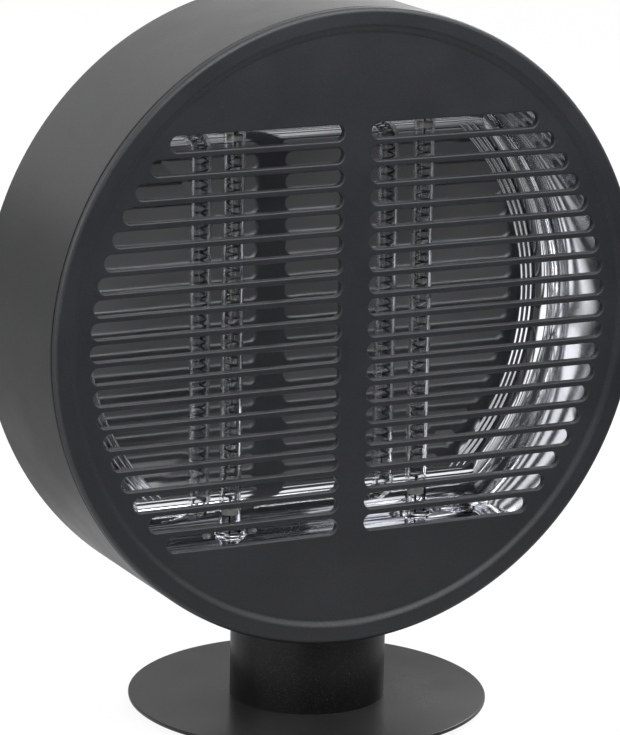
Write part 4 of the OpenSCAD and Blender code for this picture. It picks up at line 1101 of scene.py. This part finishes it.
class HEATER_OT_supply_lead(bpy.types.Operator):
    """Lay the supply lead from the gland up to the terminal block"""

    bl_idname = "heater.supply_lead"
    bl_label = "Supply lead"

    def execute(self, context):
        low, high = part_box("supply_lead")
        radius, bend_points = 3.5 * MM, 16
        lead_y, gland_y, gland_z = low.y + radius, high.y, low.z + radius
        bend_y, bend_z = gland_y - lead_y - 0.9 * MM, 14.2 * MM
        points = [Vector((0, gland_y, gland_z))]
        for i in range(bend_points + 1):
            turn = pi / 2 * i / bend_points
            points.append(Vector((0, lead_y + bend_y * (1 - sin(turn)),
                                  gland_z + bend_z * (1 - cos(turn)))))
        points += [Vector((0, lead_y, (gland_z + bend_z + high.z) / 2)),
                   Vector((0, lead_y, high.z))]
        lead = tube_through("supply_lead_finished", points, radius, 4)
        finish_piece(lead, "lead_rubber", ["supply_lead"])
        return {"FINISHED"}


# Drum, column and base


def pins(places, radius, depth):
    """Upright round pins of one size, centred on places, joined as one cutter."""
    half = depth / 2
    profile = [(0, -half), (radius, -half), (radius, half), (0, half)]
    return joined("pins", [lathe("pin", profile, place, "Z", PIN_STEPS) for place in places])


class HEATER_OT_drum(bpy.types.Operator):
    """Roll the drum band, with hemmed edges front and back"""

    bl_idname = "heater.drum"
    bl_label = "Drum band"

    def execute(self, context):
        wall, hem, edge = 1.2 * MM, 0.6 * MM, 6 * MM
        front, rear, inner, bottom = DRUM_LOW.y, DRUM_HIGH.y, DRUM_R - wall, HEAD_Z - DRUM_R
        profile = arc(inner + hem, front + hem, hem, 180, 360, 10)
        profile += [(DRUM_R, y) for y in (front + edge, 0, rear - edge)]
        profile += arc(inner + hem, rear - hem, hem, 0, 180, 10)
        profile += [(inner, y) for y in (rear - edge, 0, front + edge, front + hem)]
        band = lathe("drum_shell_finished", profile, HEAD, "Y", DRUM_STEPS)
        bolt_x, bolt_y, bolt_r, lead_r, deep = 20 * MM, 14 * MM, 2.6 * MM, 6 * MM, 12 * MM
        bolts = [(x * bolt_x, y * bolt_y, bottom) for x in (-1, 1) for y in (-1, 1)]
        cut_with(band, pins(bolts, bolt_r, deep))
        cut_with(band, pins([(0, LEAD_Y, bottom)], lead_r, deep))
        finish_piece(settle(band), "drum_paint", ["drum_shell"])
        return {"FINISHED"}


class HEATER_OT_rear_cover(bpy.types.Operator):
    """Model the recessed rear cover with its turned lip, vents and switch holes"""

    bl_idname = "heater.rear_cover"
    bl_label = "Rear cover"

    def execute(self, context):
        low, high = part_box("rear_cover")
        radius, sheet, lip = (high.x - low.x) / 2, 1.2 * MM, 1.6 * MM
        outer, inner, bend, edge = low.y + sheet, low.y, 1.2 * MM, 0.5 * MM
        plate_r = radius - 10 * MM
        profile = [(plate_r, outer)]
        profile += arc(radius - lip - bend, outer + bend, bend, 270, 360, 6)
        profile += arc(radius - lip + edge, high.y - edge, edge, 180, 90, 4)
        profile += arc(radius - edge, high.y - edge, edge, 90, 0, 4)
        profile += arc(radius - bend, inner + bend, bend, 0, -90, 6)
        profile += [(plate_r, inner)]
        ring = lathe("rear_ring", profile, HEAD, "Y", PLATE_STEPS)
        pitch, height, bar, rounding = 11 * MM, 4 * MM, 20 * MM, 0.35 * MM
        rows = [36 * MM + pitch * i for i in range(8)] + [-86 * MM - pitch * i for i in range(4)]
        vents = slots(rows, height, bar, DRUM_R - 27.2 * MM, rounding, outer, inner)
        cover = fill_between(joined("rear_cover_finished", [ring, vents]), (outer, inner))
        settle(cover)
        switch_hole = (13.6 * MM, 6 * MM, 19.8 * MM)
        holes = [block((side * SWITCH_X * MM, outer, HEAD_Z + SWITCH_UP * MM), switch_hole)
                 for side in (-1, 1)]
        cut_with(cover, joined("switch_holes", holes))
        finish_piece(settle(cover), "drum_paint", ["rear_cover"])
        return {"FINISHED"}


class HEATER_OT_column_and_base(bpy.types.Operator):
    """Finish the column, the base disc and the rubber feet"""

    bl_idname = "heater.column_and_base"
    bl_label = "Column and base"

    def execute(self, context):
        round_off("column_tube", 0.5)
        low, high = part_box("base_disc")
        radius, edge = high.x, 0.6 * MM
        profile = [(0, low.z)] + arc(radius - edge, low.z + edge, edge, 270, 360, 5)
        profile += arc(radius - edge, high.z - edge, edge, 0, 90, 5)
        profile += [(0.8 * radius, high.z), (0.5 * radius, high.z), (0, high.z)]
        disc = lathe("base_disc_finished", profile, (0, 0, 0), "Z", PLATE_STEPS)
        head_r, neck_r, screw_r, screw_circle = 5.5 * MM, 2.5 * MM, 2.1 * MM, 28 * MM
        mouth, neck, top = -1 * MM, 2 * MM, 4 * MM
        sink = lathe("sink", [(0, mouth), (head_r, mouth), (neck_r, neck), (screw_r, neck),
                              (screw_r, top), (0, top)], (0, 0, low.z), "Z", PIN_STEPS)
        for x, y in four_corners(screw_circle):
            cut_with(disc, copy_of(sink, "sink_copy", (x, y, 0)))
        remove(sink)
        finish_piece(settle(disc), "base_paint", ["base_disc"])
        round_off("rubber_feet", 0.8, 3)
        return {"FINISHED"}


class HEATER_OT_gland(bpy.types.Operator):
    """Model the cord gland with its ribbed cap, and its nut"""

    bl_idname = "heater.gland"
    bl_label = "Cord gland"

    def execute(self, context):
        low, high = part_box("cable_gland")
        middle, count, width, out = (low.z + high.z) / 2, 18, 1.1 * MM, 8.2 * MM
        gland = softened("cable_gland", 0.5, 3)
        cap_low, cap_high = high.y - 8 * MM, high.y - 2 * MM
        ribs = []
        for i in range(count):
            rib = block((0, (cap_low + cap_high) / 2, middle), (width, cap_high - cap_low, width))
            edit(rib)
            bpy.ops.mesh.bevel(offset=0.3 * MM, segments=2, affect="EDGES")
            pick(rib, "VERT", lambda vert: vert.co.y > 0)
            bpy.ops.transform.translate(value=(0, 0, -width))
            bpy.ops.mesh.select_all(action="SELECT")
            bpy.ops.transform.translate(value=(0, 0, out))
            leave_edit()
            bpy.ops.object.transform_apply()
            edit(rib)
            bpy.ops.transform.rotate(value=tau * i / count, orient_axis="Y",
                                     center_override=(0, 0, middle))
            leave_edit()
            ribs.append(rib)
        whole = joined("cable_gland_finished", [gland] + ribs)
        finish_piece(whole, "black_plastic", ["cable_gland"])
        round_off("gland_nut", 0.4)
        return {"FINISHED"}


# Switches and fastenings


def rocker_marks(side, rocker):
    """A line for on and a ring for off, printed on the rocker's two halves."""
    low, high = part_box("rocker_" + side)
    middle, ahead, apart = (low + high) / 2, high.y + 1 * MM, 4.6 * MM
    line_w, line_h, ring_radii = 0.8 * MM, 4 * MM, (1.4 * MM, 1.8 * MM, 2.1 * MM)
    deselect()
    bpy.ops.mesh.primitive_grid_add(x_subdivisions=2, y_subdivisions=10, size=1.0,
                                    location=(0, 0, 0))
    line = bpy.context.object
    edit(line)
    bpy.ops.transform.resize(value=(line_w, line_h, 1))
    bpy.ops.transform.rotate(value=pi / 2, orient_axis="X", center_override=(0, 0, 0))
    bpy.ops.transform.translate(value=(middle.x, ahead, middle.z + apart))
    leave_edit()
    ring = lathe("ring", [(r, 0) for r in ring_radii], (middle.x, ahead, middle.z - apart), "Y",
                 PIN_STEPS)
    marks = joined("rocker_marks_" + side, [line, ring])
    with_modifier(marks, "SHRINKWRAP", target=rocker, wrap_method="PROJECT", use_project_y=True,
                  use_negative_direction=True, use_positive_direction=False, offset=0.02 * MM)
    with_modifier(marks, "SOLIDIFY", thickness=0.08 * MM, offset=1.0)
    finish_piece(settle(marks), "cream_plastic", (), side + "_rocker")


class HEATER_OT_switches(bpy.types.Operator):
    """Finish the two rocker switches, with a line and a ring marked on each rocker"""

    bl_idname = "heater.switches"
    bl_label = "Switches"

    def execute(self, context):
        for side in ("left", "right"):
            body = "switch_body_" + side
            finish_piece(softened(body, 0.45, 3), "black_plastic", [body])
            rocker_marks(side, round_off("rocker_" + side, 0.35, 3, side + "_rocker"))
        return {"FINISHED"}


class HEATER_OT_fastenings(bpy.types.Operator):
    """Round off the screws, rivets and bolts"""

    bl_idname = "heater.fastenings"
    bl_label = "Fastenings"

    def execute(self, context):
        for node, width in (("rear_cover_screws", 0.3), ("cover_screws", 0.3),
                            ("base_screws", 0.2), ("ledge_rivets", 0.5),
                            ("chassis_screws", 0.25), ("bracket_screws", 0.25),
                            ("component_screws", 0.25), ("saddle_bolts", 0.4),
                            ("terminal_screws", 0.15)):
            round_off(node, width)
        return {"FINISHED"}


class HEATER_OT_inner_parts(bpy.types.Operator):
    """Round off the sheet metal, the ceramics and the components inside the drum"""

    bl_idname = "heater.inner_parts"
    bl_label = "Inner parts"

    def execute(self, context):
        for node in ("chassis_plate", "cover_tabs", "chassis_tabs", "rear_tabs",
                     "upper_tube_bracket", "lower_tube_bracket", "upper_tube_clips",
                     "lower_tube_clips", "coil_holders"):
            round_off(node, 0.2)
        for node in ("column_foot", "column_saddle", "saddle_plate", "wire_grommets",
                     "lead_bush"):
            round_off(node, 0.4)
        for end in ("upper_left", "upper_right", "lower_left", "lower_right"):
            round_off("end_cap_" + end, 0.6, 3)
        for node in ("terminal_block", "thermal_cutout", "tilt_switch_case"):
            round_off(node, 0.5, 3)
        round_off("tilt_pivot_pin", 0.2)
        round_off("tilt_pendulum", 0.3, body="pendulum")
        return {"FINISHED"}


# Panel and run

STEPS = ("studio", "finishes", "supply_lead", "wires", "front_cover", "reflector", "tubes",
         "filaments", "drum", "rear_cover", "column_and_base", "gland", "switches", "fastenings",
         "inner_parts")


class HEATER_PT_panel(bpy.types.Panel):
    """The heater's pieces and stage, in the order in which they are made"""

    bl_label = "Patio heater"
    bl_idname = "HEATER_PT_panel"
    bl_space_type = "VIEW_3D"
    bl_region_type = "UI"
    bl_category = "Heater"

    def draw(self, context):
        for name in GROUPS:
            group = getattr(context.scene, name)
            for key in group.__annotations__:
                self.layout.prop(group, key)
        for step in STEPS:
            self.layout.operator("heater." + step)


GROUPS = {"heater_studio": HEATER_PG_studio, "heater_colours": HEATER_PG_colours,
          "heater_cover": HEATER_PG_cover, "heater_coil": HEATER_PG_coil}
CLASSES = (*GROUPS.values(), HEATER_OT_finishes, HEATER_OT_studio, HEATER_OT_front_cover,
           HEATER_OT_reflector, HEATER_OT_tubes, HEATER_OT_filaments, HEATER_OT_wires,
           HEATER_OT_supply_lead, HEATER_OT_drum, HEATER_OT_rear_cover,
           HEATER_OT_column_and_base, HEATER_OT_gland, HEATER_OT_switches, HEATER_OT_fastenings,
           HEATER_OT_inner_parts, HEATER_PT_panel)


def register():
    for cls in CLASSES:
        bpy.utils.register_class(cls)
    for name, group in GROUPS.items():
        setattr(bpy.types.Scene, name, PointerProperty(type=group))


def unregister():
    for name in GROUPS:
        delattr(bpy.types.Scene, name)
    for cls in reversed(CLASSES):
        bpy.utils.unregister_class(cls)


def main():
    register()
    for step in STEPS:
        getattr(bpy.ops.heater, step)()
    deselect()


if __name__ == "__main__":
    main()
